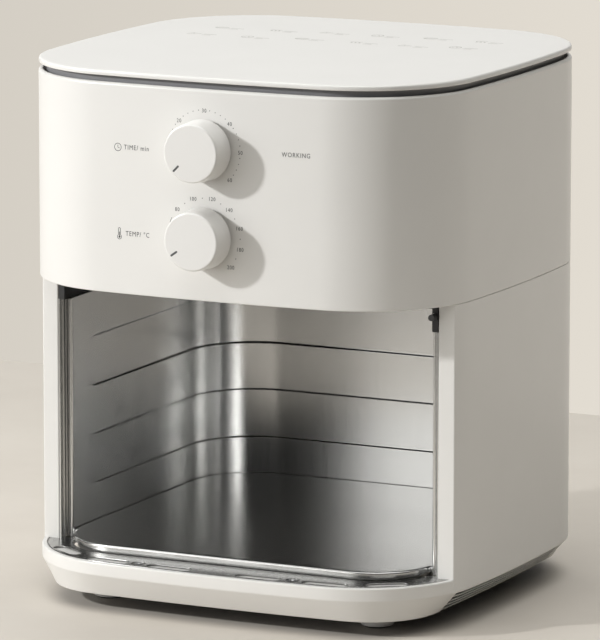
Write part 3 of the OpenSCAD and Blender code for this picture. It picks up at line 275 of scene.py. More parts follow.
def columns_of(points):
    """A closed anticlockwise plan as columns, with ways outwards that keep an inset even at corners."""
    columns = []
    for i, (x, y) in enumerate(points):
        p = Vector((x, y))
        into = (p - Vector(points[i - 1])).normalized()
        out = (Vector(points[(i + 1) % len(points)]) - p).normalized()
        n = Vector((into.y, -into.x))
        m = n + Vector((out.y, -out.x))
        m /= m.dot(n)
        columns.append((x, y, m.x, m.y))
    return columns


def sweep(bm, columns, profile, closed=True, loop=True, keep=None):
    """Runs a profile of (inset, height) along columns and returns the grid of its vertices.

    The profile may be a function of the column, and keep(i, j) says which faces are made.
    A profile that is no loop gets a flat face over all its first points and over all its last."""
    grid = []
    for x, y, nx, ny in columns:
        points = profile(x, y, nx, ny) if callable(profile) else profile
        grid.append([bm.verts.new((x - d * nx, y - d * ny, z)) for d, z in points])
    tall = len(grid[0])
    for i in range(len(grid) if closed else len(grid) - 1):
        near, far = grid[i], grid[(i + 1) % len(grid)]
        for j in range(tall if loop else tall - 1):
            k = (j + 1) % tall
            if keep is None or keep(i, j):
                bm.faces.new((near[j], far[j], far[k], near[k]))
    if not closed:
        for end in (grid[0], grid[-1]):
            bm.faces.new(end)
    if not loop:
        for j in (0, -1):
            bm.faces.new([column[j] for column in grid])
    return grid


def close_cut(bm, grid, inside, bridges, rim):
    """Closes the edges of a cut through a swept wall.

    bridges are pairs of the profile's points to join along it, and rim the points at its ends."""
    for i in inside:
        after = (i + 1) % len(grid)
        near, far = grid[i], grid[after]
        for a, b in bridges:
            bm.faces.new((near[a], far[a], far[b], near[b]))
        for column, beyond in ((near, (i - 1) % len(grid)), (far, after)):
            if beyond not in inside:
                bm.faces.new([column[j] for j in rim])


AXES = {"up": (Vector((0, 1, 0)), Vector((0, 0, 1))), "front": (Vector((0, 0, 1)), Vector((0, -1, 0))),
        "back": (Vector((0, 0, 1)), Vector((0, 1, 0)))}


def place_on(axis, centre, u, v, h):
    """A point u to the right and v across an axis through centre, and h along it."""
    side, along = AXES[axis]
    return Vector(centre) + Vector((u, 0, 0)) + side * v + along * h


def prism(bm, outer, low, high, holes=(), centre=(0, 0, 0), axis="up"):
    """A plate between two heights, from its outer line and the lines of its holes."""
    rims = [], []
    for line in (outer, *holes):
        rings = [[bm.verts.new(place_on(axis, centre, u, v, h)) for u, v in line]
                 for h in (low, high)]
        for i in range(len(line)):
            bm.faces.new((rings[0][i - 1], rings[0][i], rings[1][i], rings[1][i - 1]))
            for rim, ring in zip(rims, rings):
                rim.append(bm.edges.get((ring[i - 1], ring[i])))
        if not holes:
            for ring in rings:
                bm.faces.new(ring)
    if holes:
        for rim in rims:
            bmesh.ops.triangle_fill(bm, use_beauty=True, use_dissolve=False, edges=rim)


def lathe(bm, profile, centre, axis="up", steps=72, closed=False):
    """Turns a profile of (radius, height) about an axis through centre."""
    rings = []
    for c, s in circle(0, 0, 1, steps):
        rings.append([bm.verts.new(place_on(axis, centre, r * c, r * s, h)) for r, h in profile])
    count = len(profile)
    for i, near in enumerate(rings):
        far = rings[(i + 1) % steps]
        for j in range(count if closed else count - 1):
            k = (j + 1) % count
            corners = [near[j], far[j], far[k], near[k]]
            if profile[j][0] == 0:
                corners = [near[j], far[k], near[k]]
            elif profile[k][0] == 0:
                corners = [near[j], far[j], near[k]]
            bm.faces.new(corners)


def tube(bm, points, radius):
    """A round rod along a line of points."""
    curve = bpy.data.curves.new("rod", "CURVE")
    curve.dimensions = "3D"
    curve.bevel_depth = radius
    curve.bevel_resolution = 4
    curve.use_fill_caps = True
    spline = curve.splines.new("POLY")
    spline.points.add(len(points) - 1)
    for place, p in zip(spline.points, points):
        place.co = (*p, 1)
    take_in(bm, curve)


def take_in(bm, curve, place=None):
    """Adds the mesh that a curve or text makes to bm, each vertex moved by place."""
    holder = bpy.data.objects.new("curve", curve)
    mesh = bpy.data.meshes.new_from_object(holder)
    if place:
        for vertex in mesh.vertices:
            vertex.co = place(vertex.co)
    bm.from_mesh(mesh)
    bpy.data.objects.remove(holder)
    bpy.data.meshes.remove(mesh)


def plain_mesh(name, bm):
    """Welds what bm holds, turns it into metres and returns it as a mesh."""
    bmesh.ops.remove_doubles(bm, verts=bm.verts, dist=0.002)
    bmesh.ops.recalc_face_normals(bm, faces=bm.faces)
    mesh = bpy.data.meshes.new(name)
    bm.to_mesh(mesh)
    bm.free()
    mesh.transform(Matrix.Scale(MM, 4))
    return mesh


def cut_out(obj, cutter):
    """Takes a cutter's form out of an object for good."""
    tool = bpy.data.objects.new("cutter", plain_mesh("cutter", cutter))
    bpy.context.scene.collection.objects.link(tool)
    cut = obj.modifiers.new("cut", "BOOLEAN")
    cut.object = tool
    cut.solver = "EXACT"
    depsgraph = bpy.context.evaluated_depsgraph_get()
    obj.data = bpy.data.meshes.new_from_object(obj.evaluated_get(depsgraph))
    obj.modifiers.clear()
    bpy.data.objects.remove(tool)


def piece(name, bm, slot, replaces=(), body="housing", edge=0, sharp=35, cutter=None, ink=None):
    """Finishes bm as a piece: shading, edges rounded by edge, the material of its slot, and the frame's
    nodes that it replaces hidden.
    """
    obj = bpy.data.objects.new(name, plain_mesh(name, bm))
    bpy.context.scene.collection.objects.link(obj)
    if cutter:
        cut_out(obj, cutter)
    obj.data.name = name
    obj.data.materials.append(ink or MATERIALS[slot])
    obj.data.shade_smooth()
    obj.data.set_sharp_from_angle(angle=math.radians(sharp))
    if edge:
        bevel = obj.modifiers.new("edges", "BEVEL")
        bevel.width = edge * MM
        bevel.segments = 3
        bevel.limit_method = "ANGLE"
        bevel.angle_limit = math.radians(40)
    normals = obj.modifiers.new("normals", "WEIGHTED_NORMAL")
    normals.keep_sharp = True
    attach(obj, body)
    if replaces:
        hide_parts(*replaces)


def rounded_copy(node, slot, edge):
    """A copy of a node whose flat faces are whole again and whose edges are rounded."""
    bm = bmesh.new()
    bm.from_mesh(frame["nodes"][node].data)
    bmesh.ops.scale(bm, vec=Vector((1, 1, 1)) / MM, verts=bm.verts)
    bmesh.ops.remove_doubles(bm, verts=bm.verts, dist=0.005)
    bmesh.ops.dissolve_limit(bm, angle_limit=math.radians(0.5), verts=bm.verts, edges=bm.edges)
    piece(node + "_finished", bm, slot, [node], edge=edge)


# Materials ----------------------------------------------------------------------------------

def colour(hex_code):
    """A colour written as sRGB hex, as linear values."""
    parts = [int(hex_code[i:i + 2], 16) / 255 for i in (1, 3, 5)]
    return (*[c / 12.92 if c <= 0.04045 else ((c + 0.055) / 1.055) ** 2.4 for c in parts], 1)


def add(tree, kind, inputs, **settings):
    """Adds a node to a tree: settings are its own, inputs are values, outputs or other nodes.

    A node stands for the first of its outputs that is in use."""
    node = tree.nodes.new("ShaderNode" + kind)
    for name, value in settings.items():
        setattr(node, name, value)
    for name, value in inputs.items():
        if isinstance(value, bpy.types.Node):
            value = next(output for output in value.outputs if output.enabled)
        if isinstance(value, bpy.types.NodeSocket):
            tree.links.new(value, node.inputs[name])
        else:
            node.inputs[name].default_value = value
    return node


def empty_tree(owner):
    """The node tree of a material or world, with nothing in it."""
    owner.use_nodes = True
    owner.node_tree.nodes.clear()
    return owner.node_tree


def begin(name):
    """A new material, its tree, and the place on the object in metres."""
    material = bpy.data.materials.new(name)
    tree = empty_tree(material)
    return material, tree, add(tree, "TexCoord", {}).outputs["Object"]


def shade(material, sockets):
    """Gives a material its shader and returns it."""
    tree = material.node_tree
    shader = add(tree, "BsdfPrincipled", sockets)
    add(tree, "OutputMaterial", {"Surface": shader})
    return material


def finish(material, factor, dark, light, sockets, gloss=None, relief=None):
    """Gives a material a shader whose colour runs between two with a factor, and returns it.

    gloss holds the inputs of the roughness's own run, and relief its source and height in mm."""
    tree = material.node_tree
    tint = add(tree, "Mix", {"Factor": factor, "A": colour(dark), "B": colour(light)},
               data_type="RGBA")
    inputs = {"Base Color": tint, **sockets}
    if gloss:
        inputs["Roughness"] = add(tree, "MapRange", gloss)
    if relief:
        inputs["Normal"] = add(tree, "Bump", {"Height": relief[0], "Distance": relief[1] * MM})
    return shade(material, inputs)


def moulded(name, dark, light, roughness, grain, depth, ior=1.54):
    """Injection-moulded plastic: its colour clouds a little, and the tool leaves a fine grain.

    grain is the grain's width and depth its height, both in mm."""
    material, tree, place = begin(name)
    cloud = add(tree, "TexNoise", {"Vector": place, "Scale": 1 / (45 * MM), "Detail": 2.0})
    skin = add(tree, "TexNoise", {"Vector": place, "Scale": 1 / (grain * MM), "Detail": 3.0})
    gloss = {"Value": skin, "To Min": roughness - 0.04, "To Max": roughness + 0.04}
    return finish(material, cloud, dark, light, {"IOR": ior}, gloss, (skin, depth))


def rolled(name, dark, light, roughness, along, streak, depth, mottle):
    """Rolled sheet metal: streaks along one axis from the rolls, and a faint mottle.

    along is the axis of the streaks, streak their width and mottle its grain in mm."""
    material, tree, place = begin(name)
    long = 60
    scale = [1 / ((long if axis == along else streak) * MM) for axis in "XYZ"]
    stretched = add(tree, "VectorMath", {0: place, 1: scale}, operation="MULTIPLY")
    lines = add(tree, "TexNoise", {"Vector": stretched, "Scale": 1.0, "Detail": 4.0})
    grain = add(tree, "TexNoise", {"Vector": place, "Scale": 1 / (mottle * MM), "Detail": 5.0,
                                   "Roughness": 0.7})
    both = add(tree, "Mix", {"Factor": 0.5, "A": lines, "B": grain})
    gloss = {"Value": both, "From Min": 0.3, "From Max": 0.7, "To Min": roughness - 0.03,
             "To Max": roughness + 0.03}
    return finish(material, both, dark, light, {"Metallic": 1.0}, gloss, (both, depth))


def plated(name, dark, light, roughness, patch, crystals=False):
    """Plated, ground or cast metal: patches of slightly different gloss, or zinc crystals.

    patch is the width of a patch or crystal in mm."""
    material, tree, place = begin(name)
    if crystals:
        cells = add(tree, "TexVoronoi", {"Vector": place, "Scale": 1 / (patch * MM)}).outputs["Color"]
    else:
        cells = add(tree, "TexNoise", {"Vector": place, "Scale": 1 / (patch * MM), "Detail": 4.0})
    gloss = {"Value": cells, "To Min": roughness - 0.06, "To Max": roughness + 0.08}
    return finish(material, cells, dark, light, {"Metallic": 1.0}, gloss)


def mineral_felt():
    """Pressed mineral felt: short pale fibres with no gloss, and a sandy speckle."""
    material, tree, place = begin("mineral_felt")
    length, thickness = 4 * MM, 0.5 * MM
    fibre = add(tree, "VectorMath", {0: place, 1: (1 / length, 1 / thickness, 1 / thickness)},
                operation="MULTIPLY")
    hairs = add(tree, "TexNoise", {"Vector": fibre, "Scale": 1.0, "Detail": 6.0, "Distortion": 1.5})
    return finish(material, hairs, "#A89C80", "#E2DAC4", {"Roughness": 0.95, "Sheen Weight": 0.2},
                  relief=(hairs, 0.3))


BAND = 0.314                # scale of a band texture whose bands are one unit apart


def ridged(name, dark, light, apart, height, axis, bands, sockets):
    """A surface in even ridges across an axis: their distance apart and their height in mm."""
    material, tree, place = begin(name)
    ridges = add(tree, "TexWave", {"Vector": place, "Scale": BAND / (apart * MM), **bands},
                 bands_direction=axis).outputs["Fac"]
    return finish(material, ridges, dark, light, sockets, relief=(ridges, height))


def oxidised_sheath():
    """Heater sheath of nickel steel after its first firing: olive grey with brown and blue clouds."""
    material, tree, place = begin("oxidised_sheath")
    clouds = add(tree, "TexNoise", {"Vector": place, "Scale": 1 / (14 * MM), "Detail": 5.0})
    ramp = add(tree, "ValToRGB", {"Fac": clouds})
    ramp.color_ramp.elements[0].color = colour("#3A3B36")
    ramp.color_ramp.elements[1].color = colour("#6A6150")
    ramp.color_ramp.elements.new(0.55).color = colour("#4A4E55")
    gloss = add(tree, "MapRange", {"Value": clouds, "To Min": 0.35, "To Max": 0.6})
    return shade(material, {"Base Color": ramp, "Roughness": gloss, "Metallic": 0.7})


def screen_ink(name, hex_code):
    """Screen-printed ink: flat and matt, a little thinner in places so that it is never one grey."""
    material, tree, place = begin(name)
    thin = add(tree, "TexNoise", {"Vector": place, "Scale": 1 / (0.8 * MM), "Detail": 2.0})
    full = colour(hex_code)
    paler = (*[part * 1.25 for part in full[:3]], 1)
    wash = add(tree, "Mix", {"Factor": thin, "A": full, "B": paler}, data_type="RGBA")
    return shade(material, {"Base Color": wash, "Roughness": 0.6})


MATERIALS = {
    # ABS moulded in a fine satin tool: warm white, soft wide highlights
    "white_shell": moulded("white_abs", "#E4E3E0", "#E9E8E5", 0.3, 1.4, 0.0015),
    # the knobs are moulded in the same ABS, a shade brighter and smoother
    "knob_white": moulded("white_abs_knob", "#E6E5E2", "#EAE9E7", 0.3, 1.0, 0.0006),
    # grey ABS inlay, flat
    "pointer_grey": moulded("grey_abs_inlay", "#4C4C4D", "#57585A", 0.5, 0.6, 0.01),
    # dark grey ABS band with spark-eroded grain, which takes the gloss away
    "waist_grey": moulded("grey_abs_band", "#7C7C7F", "#868689", 0.42, 0.7, 0.02),
    # black polypropylene base, dull
    "base_dark": moulded("black_polypropylene", "#232324", "#2D2D2E", 0.5, 0.7, 0.03, 1.49),
    # rubber, vulcanised: almost no gloss, with a dusty bloom
    "foot_rubber": moulded("foot_rubber", "#1B1B1B", "#2C2B2A", 0.85, 0.5, 0.04, 1.5),
    # glass-filled polyester: charcoal, with a coarse dry skin
    "frame_black": moulded("glass_filled_polyester", "#0E0E0F", "#18181A", 0.55, 0.5, 0.03, 1.6),
    # aluminium-coated steel sheet, rolled: grey mirror that blurs what it shows
    "liner_steel": rolled("aluminised_sheet", "#D0D0CF", "#DBDBDA", 0.24, "Z", 2.5, 0.0008, 1.8),
    # stainless steel strip, rolled lengthwise, with finer streaks; its darker grey is partly the
    # steel's own and partly painted shade for the dark cavity that it reflects
    "sill_steel": rolled("stainless_strip", "#A2A2A1", "#B2B2B0", 0.26, "X", 0.8, 0.001, 2.0),
    # steel screws with a bright zinc plating
    "screw_steel": plated("zinc_plated_steel", "#A9A9AB", "#CFD0D1", 0.28, 1.5),
    # steel wire, nickel-plated
    "guard_wire": plated("nickel_plated_wire", "#B5B2AB", "#D8D5CE", 0.18, 3.0),
    "coil_sheath": oxidised_sheath(),
    # hot-dip galvanised sheet: crystals about 5 mm wide
    "pressed_steel": plated("galvanised_sheet", "#8F9294", "#B9BCBE", 0.4, 5.0, True),
    # aluminium-coated sheet polished to throw heat back
    "chamber_steel": rolled("reflector_sheet", "#B2B2AF", "#CFCFCB", 0.25, "X", 0.8, 0.004, 2.0),
    "mica_felt": mineral_felt(),
    # aluminium sheet, pressed: pale, slightly milky
    "fan_aluminium": rolled("pressed_aluminium", "#BFC0C1", "#DADBDC", 0.33, "X", 0.5, 0.004, 2.0),
    # steel, centreless ground
    "shaft_steel": plated("ground_steel", "#A5A6A8", "#C6C7C9", 0.2, 0.7),
    # turned brass
    "brass_parts": plated("turned_brass", "#B08A3C", "#D9B765", 0.25, 0.8),
    # drawn copper, slightly tarnished
    "copper_parts": plated("drawn_copper", "#9A5534", "#C98058", 0.3, 4.0),
    # polyamide, moulded
    "black_moulding": moulded("black_polyamide", "#1A1A1B", "#262627", 0.4, 0.6, 0.02, 1.53),
    # a stack of punched iron sheets: thin level lines, drawn 2 mm apart so that they show
    "core_iron": ridged("stacked_iron", "#3E3F42", "#7C7E82", 2.0, 0.15, "Z",
                        {"Distortion": 0.6, "Detail": 2.0}, {"Metallic": 1.0, "Roughness": 0.45}),
    # lacquered copper wire wound side by side: fine ridges under a glossy coat, 1.6 mm apart
    "winding_copper": ridged("lacquered_winding", "#5E2A12", "#A45626", 1.6, 0.2, "Z",
                             {"Distortion": 1.0, "Detail": 1.0},
                             {"Metallic": 0.6, "Roughness": 0.3, "Coat Weight": 0.6,
                              "Coat Roughness": 0.15}),
    # phenolic moulding: cream, dull
    "cream_moulding": moulded("cream_phenolic", "#D5CDB6", "#E3DCC8", 0.45, 0.8, 0.01, 1.6),
    # clear orange polycarbonate: light goes into it, and its ribs break up what lies behind
    "lamp_lens": ridged("orange_lens", "#D8560C", "#F59A3A", 2.0, 0.1, "X", {},
                        {"Roughness": 0.12, "IOR": 1.58, "Transmission Weight": 0.7}),
    # acetal: dense grey, waxy
    "plunger_grey": moulded("grey_acetal", "#47484A", "#545557", 0.35, 0.6, 0.004, 1.48),
}
DIAL_INK = screen_ink("dial_ink", "#303033")
LID_INK = screen_ink("lid_ink", "#BAB9B5")

for part in frame["record"]["subparts"]:
    mesh = frame["nodes"][part["node"]].data
    mesh.materials.clear()
    mesh.materials.append(MATERIALS[part["material_slot"]])


# Housing ------------------------------------------------------------------------------------

SLATS = 4
SLAT_PITCH = 2.8
SLAT_T = 0.6
SLAT_D = 1.6
PILLAR_EDGE = 0.9           # rounding of the pillars' front edges
PILLAR_BACK = 0.4           # and of the edges behind them


def foot_and_lip(bm):
    """Slanted foot with an air inlet in both sides, and the lip that carries the sill."""
    lip_start = PILLAR_Y + 1.6

    def profile(x, y, nx, ny):
        # the lip's edges are round only where it runs in front of the pillars
        share = min(1, max(0, (-y - PILLAR_Y) / (lip_start - PILLAR_Y)))
        bottom = foot_inset(x, y, nx, ny)
        slant = bottom / (CREASE_Z - BASE_Z)
        return rounded([
            (bottom, BASE_Z, 0.5), (0, CREASE_Z, 2.2), (0, SILL_Z, 0.9 * share),
            (LIP_WALL, SILL_Z, 0.25 * share), (LIP_WALL, CREASE_Z),
            (WALL + slant * (CREASE_Z - INLET_TOP), INLET_TOP),
            (bottom + WALL, BASE_Z, 0.3)])

    columns = outline(cut_y=(-PILLAR_Y, -lip_start, -INLET_HALF, INLET_HALF))
    inlets = stretch(columns, 1, INLET_HALF, lambda c: abs(c[0]) > HALF_W / 2)
    crease, inner = 5, 21       # the profile's points at the inlets' upper edge, outside and inside
    grid = sweep(bm, columns, profile, keep=lambda i, j: i not in inlets or crease <= j < inner)
    rim = [*range(inner, len(grid[0])), *range(crease + 1)]
    close_cut(bm, grid, inlets, [(crease, inner)], rim)


def walls_and_pillars(bm):
    """Upright walls as one plan that is open in front, where it turns in behind the pillars."""
    walls = [c for c in outline(cut_y=(-PILLAR_Y,)) if c[1] > -PILLAR_Y - 0.001]
    right = sorted([c for c in walls if c[0] > 0 and c[1] < 0], key=lambda c: c[1])
    walls = right + [c for c in walls if c not in right]
    inner = [c for c in walls if c[1] > WALL - PILLAR_Y]
    back = PILLAR_DEPTH - PILLAR_Y
    pillar = [(PILLAR_X + WALL, WALL - PILLAR_Y), (PILLAR_X + WALL, back, PILLAR_BACK),
              (PILLAR_X, back, PILLAR_BACK), (PILLAR_X, -PILLAR_Y, PILLAR_EDGE)]
    plan = [(x, y) for x, y, _, _ in walls]
    plan[0] = (*plan[0][:2], PILLAR_EDGE)
    plan[-1] = (*plan[-1][:2], PILLAR_EDGE)
    plan += [(-x, y, *r) for x, y, *r in reversed(pillar)]
    plan += drawn_in(inner[::-1], WALL) + pillar
    apart = 0.005               # keeps the walls from being welded to the lip
    sweep(bm, columns_of(rounded(plan)), [(0, SILL_Z + apart), (0, SEAM_Z - 0.5),
                                          (0.15, SEAM_Z - 0.15), (0.5, SEAM_Z)], loop=False)


def slats(bm):
    """Thin slats across the air inlets, flush with the slanted foot."""
    for k in range(SLATS):
        low = INLET_TOP - SLAT_PITCH * (k + 0.9) - SLAT_T / 2
        high = low + SLAT_T
        share = (CREASE_Z - (low + high) / 2) / (CREASE_Z - BASE_Z)

        def profile(*column):
            face = foot_inset(*column) * share
            return rounded([(face + 0.3, low, 0.15), (face, high, 0.15), (face + SLAT_D, high, 0.15),
                            (face + SLAT_D, low, 0.15)], 2)

        for side in (1, -1):
            sweep(bm, inlet_run(side), profile, closed=False)


def lower_housing():
    """Lower housing, moulded in one with its foot, lip, pillars and slats."""
    bm = bmesh.new()
    foot_and_lip(bm)
    walls_and_pillars(bm)
    slats(bm)
    piece("lower_housing", bm, "white_shell", ["lower_shell"])


def head_shell():
    """Head with the controls: one bowed wall, a rounded rim, and a window behind the rear hood."""
    bm = bmesh.new()
    hood_low, hood_high = box_mm("rear_hood")
    half, low, high = 55, hood_low.z + 5, hood_high.z - 5
    ledge, ledge_t, ledge_in = WAIST_LOW.z, 2.5, 12
    profile = rounded([
        (0, HEAD_LOW.z, 0.6), (0, low), (0, high), (0, HEAD_HIGH.z, 1.7),
        (WALL, HEAD_HIGH.z, 0.6), (WALL, ledge), (ledge_in, ledge, 0.3),
        (ledge_in, ledge - ledge_t, 0.3), (WALL, ledge - ledge_t), (WALL, high),
        (WALL, low), (WALL, HEAD_LOW.z, 0.3)])
    outer, inner = (5, 6), (29, 30)     # the profile's points at the window's edges
    columns = outline(cut_x=(-half, half))
    window = stretch(columns, 0, half, lambda c: c[1] > 0)
    grid = sweep(bm, columns, profile,
                 keep=lambda i, j: i not in window or j not in (outer[0], inner[0]))
    close_cut(bm, grid, window, [(outer[0], inner[1]), (outer[1], inner[0])], outer + inner)
    piece("head_shell", bm, "white_shell", ["upper_shell"])


LID_FACE = LID_HIGH.z - 0.1


def lid():
    """Flat lid with a soft edge, and the skirt below it that goes into the head."""
    bm = bmesh.new()
    low = WAIST_HIGH.z
    skirt_out, skirt_in, edge, flat = 9.3, 7.3, 0.2, 9
    profile = [(skirt_out, low), (skirt_out, LID_LOW.z), (skirt_in, LID_LOW.z), (skirt_in, low)]
    rim = rounded([(flat, low), (edge, low, 0.5), (edge, LID_FACE, 1.3), (flat, LID_FACE)])
    sweep(bm, outline(), profile + rim[1:], loop=False)
    piece("lid", bm, "white_shell", ["top_lid"])


def waist_band():
    """Grey band that shows in the gap between head and lid."""
    bm = bmesh.new()
    outer, inner = 4.5, 7
    sweep(bm, outline(), [(outer, WAIST_LOW.z), (outer, WAIST_HIGH.z), (inner, WAIST_HIGH.z),
                          (inner, WAIST_LOW.z)])
    piece("waist_band", bm, "waist_grey", ["waist_ring"])


def screw_places(node):
    """Where the screws of a node stand, from its box."""
    low, high = box_mm(node)
    xs = (low.x + SCREW_HEAD, high.x - SCREW_HEAD)
    front, back = low.y + SCREW_HEAD, high.y - SCREW_HEAD
    ys = (front, back) if back - front > SCREW_HEAD else ((front + back) / 2,)
    return [(x, y) for x in xs for y in ys]


def screws(name, node, top, shank_end, up=1):
    """Flush pan-head screws with a dished middle, whose heads end at top."""
    bm = bmesh.new()
    shank_r, under = 1.5, top - 1.5 * up
    head = rounded([(0, under), (SCREW_HEAD, under), (SCREW_HEAD, top - 0.5 * up, 0.3),
                    (SCREW_HEAD - 1, top, 0.6), (1.5, top), (1.1, top - 0.5 * up),
                    (0, top - 0.6 * up)])
    shank = [(0, under), (shank_r, under), (shank_r, shank_end), (0, shank_end)]
    for x, y in screw_places(node):
        lathe(bm, head, (x, y, 0), steps=32)
        lathe(bm, shank, (x, y, 0), steps=20)
    piece(name, bm, "screw_steel", [node])


def floor_line(back, gap=0):
    """Front part of the cavity floor's plan, from y = back on the right round to the left."""
    y, r = FLOOR_R - FLOOR_FRONT, FLOOR_R + gap
    start = math.degrees(math.asin((back - y) / r))
    right = arc(FLOOR_X - FLOOR_R, y, r, start, -90, 24)
    return right + mirrored(right)


SLOT_W = 7.5
SLOT_L = 27
SLOT_XS = (27.5, 67)
SLOT_IN = 9.4               # how far the front slots lie behind the front
CORNER_SLOT_L = 24
CORNER_SLOT_OUT = 9.3       # how far the corner slots lie outside the floor's round corner
CORNER_SLOT_AT = -57


def sill_line(inset, gap):
    """Plan of the sill, anticlockwise, cut round the cavity floor."""
    front = [p for p in drawn_in(outline(cut_y=(-PILLAR_Y,)), inset) if p[1] < -PILLAR_Y - 0.4]
    front.sort(key=lambda p: p[0])
    edge, pillar, back = front[-1][0] + 0.6, PILLAR_X - 0.3, -CAVITY_FRONT - 1.9
    side = [(edge, -PILLAR_Y), (pillar, -PILLAR_Y), (pillar, back)]
    return front + side + floor_line(back, gap) + mirrored(side)


def sill():
    """Polished sill strip with its slots, and the white ledge that shows through them."""
    bm = bmesh.new()
    corner_x, corner_y = polar(FLOOR_X - FLOOR_R, FLOOR_R - FLOOR_FRONT, FLOOR_R + CORNER_SLOT_OUT,
                               CORNER_SLOT_AT)
    slots = [circle(x, y, SCREW_HEAD + 0.8, 28) for x, y in screw_places("sill_screws")]
    for m in (-1, 1):
        for x in SLOT_XS:
            bow = math.degrees(math.asin(x / FRONT_BOW))
            slots.append(slot_line(m * x, SLOT_IN - front_at(x), SLOT_L, SLOT_W, m * bow))
        slots.append(slot_line(m * corner_x, corner_y, CORNER_SLOT_L, SLOT_W,
                               m * (90 + CORNER_SLOT_AT)))
    prism(bm, sill_line(3.3, 0.5), SILL_Z - 0.7, SILL_Z, slots)
    piece("sill_strip", bm, "sill_steel", ["sill_plate"], edge=0.25)

    bm = bmesh.new()
    top = SILL_Z - 1.1
    prism(bm, sill_line(LIP_WALL - 0.2, 0.8), top - 2, top)
    piece("sill_ledge", bm, "white_shell")
    screws("sill_screws_finished", "sill_screws", SILL_Z - 0.1, SILL_Z - 9)


SLITS_EACH_SIDE = 6
SLIT_PITCH = 7
SLIT_W = 2.4
SLIT_Y = (-30, 40)
SHADE_SCREEN_IN = 7               # how far the dark screens behind the inlets stand behind the foot's bottom edge; they are painted shade, so that the inlets look dark inside
SHADE_SCREEN_T = 1.2
POST_R = 5
POST_PLACES = [(x, y) for x in (-60, 60) for y in (-55, 85)]


def base():
    """Base plate with air slits, posts under the floor, dark screens behind the inlets as painted shade
    inside them, and screws.
    """
    bm = bmesh.new()
    top = BASE_Z + DECK_T
    half = SLIT_W / 2
    holes = [rectangle(i * SLIT_PITCH - half, i * SLIT_PITCH + half, *SLIT_Y)
             for i in range(-SLITS_EACH_SIDE, SLITS_EACH_SIDE + 1)]
    holes += [circle(x, y, SCREW_HEAD + 0.5, 24) for x, y in screw_places("base_screws")]
    plan = drawn_in(outline(), lambda *column: foot_inset(*column) + WALL + 0.3)
    prism(bm, plan, BASE_Z, top, holes)
    for x, y in POST_PLACES:
        lathe(bm, [(0, top), (POST_R, top), (POST_R, FLOOR_LOW.z), (0, FLOOR_LOW.z)], (x, y, 0),
              steps=24)

    # dark upright screens behind the inlets, in the base's black: painted shade, so that the inlets
    # look dark inside
    def shade_screen(*column):
        face, low = foot_inset(*column) + SHADE_SCREEN_IN, top - 0.5
        return [(face, low), (face, INLET_TOP), (face + SHADE_SCREEN_T, INLET_TOP), (face + SHADE_SCREEN_T, low)]

    for side in (1, -1):
        sweep(bm, inlet_run(side), shade_screen, closed=False)
    piece("base_finished", bm, "base_dark", ["base_plate"], edge=0.3)
    screws("base_screws_finished", "base_screws", BASE_Z + 0.2, BASE_Z + 12, -1)


def feet():
    """Four feet with their rubber pads."""
    foot, pads = bmesh.new(), bmesh.new()
    low, high = box_mm("feet")
    reach, pad_r, pad_t = 10, 7.5, 2
    bore, rim = pad_r + 0.2, 1
    side = rounded([(bore, rim), (reach - 0.8, rim, 0.8), (reach, high.z),
                    (bore, high.z)])
    pad = rounded([(0, pad_t), (0, 0), (pad_r, 0, 0.5), (pad_r, pad_t, 0.2)])
    for x in (low.x + reach, high.x - reach):
        for y in (low.y + reach, high.y - reach):
            lathe(foot, side, (x, y, 0), closed=True)
            lathe(pads, pad[1:] + [(0, pad_t)], (x, y, 0))
    piece("feet_finished", foot, "white_shell", ["feet"])
    piece("pads_finished", pads, "foot_rubber", ["foot_pads"])


# Cavity -------------------------------------------------------------------------------------

def cavity_columns():
    """Plan of the cavity wall from the right front end round the back to the left."""
    straight = CAVITY_BACK - CAVITY_R + CAVITY_FRONT
    fine = [PANEL_START - 1 + 0.5 * i for i in range(22)]
    ways = sorted({0, *fine, *[straight * i / 8 for i in range(1, 9)]})
    right = [(CAVITY_X, way - CAVITY_FRONT, 1, 0) for way in ways]
    cx, cy = CAVITY_CORNER
    for nx, ny in arc(0, 0, 1, 0, 90, 30)[1:]:
        right.append((cx + CAVITY_R * nx, cy + CAVITY_R * ny, nx, ny))
    right += [(cx * (1 - i / 4), CAVITY_BACK, 0, 1) for i in range(1, 4)]
    left = [(-x, y, -nx, ny) for x, y, nx, ny in reversed(right)]
    return right + [(0, CAVITY_BACK, 0, 1)] + left


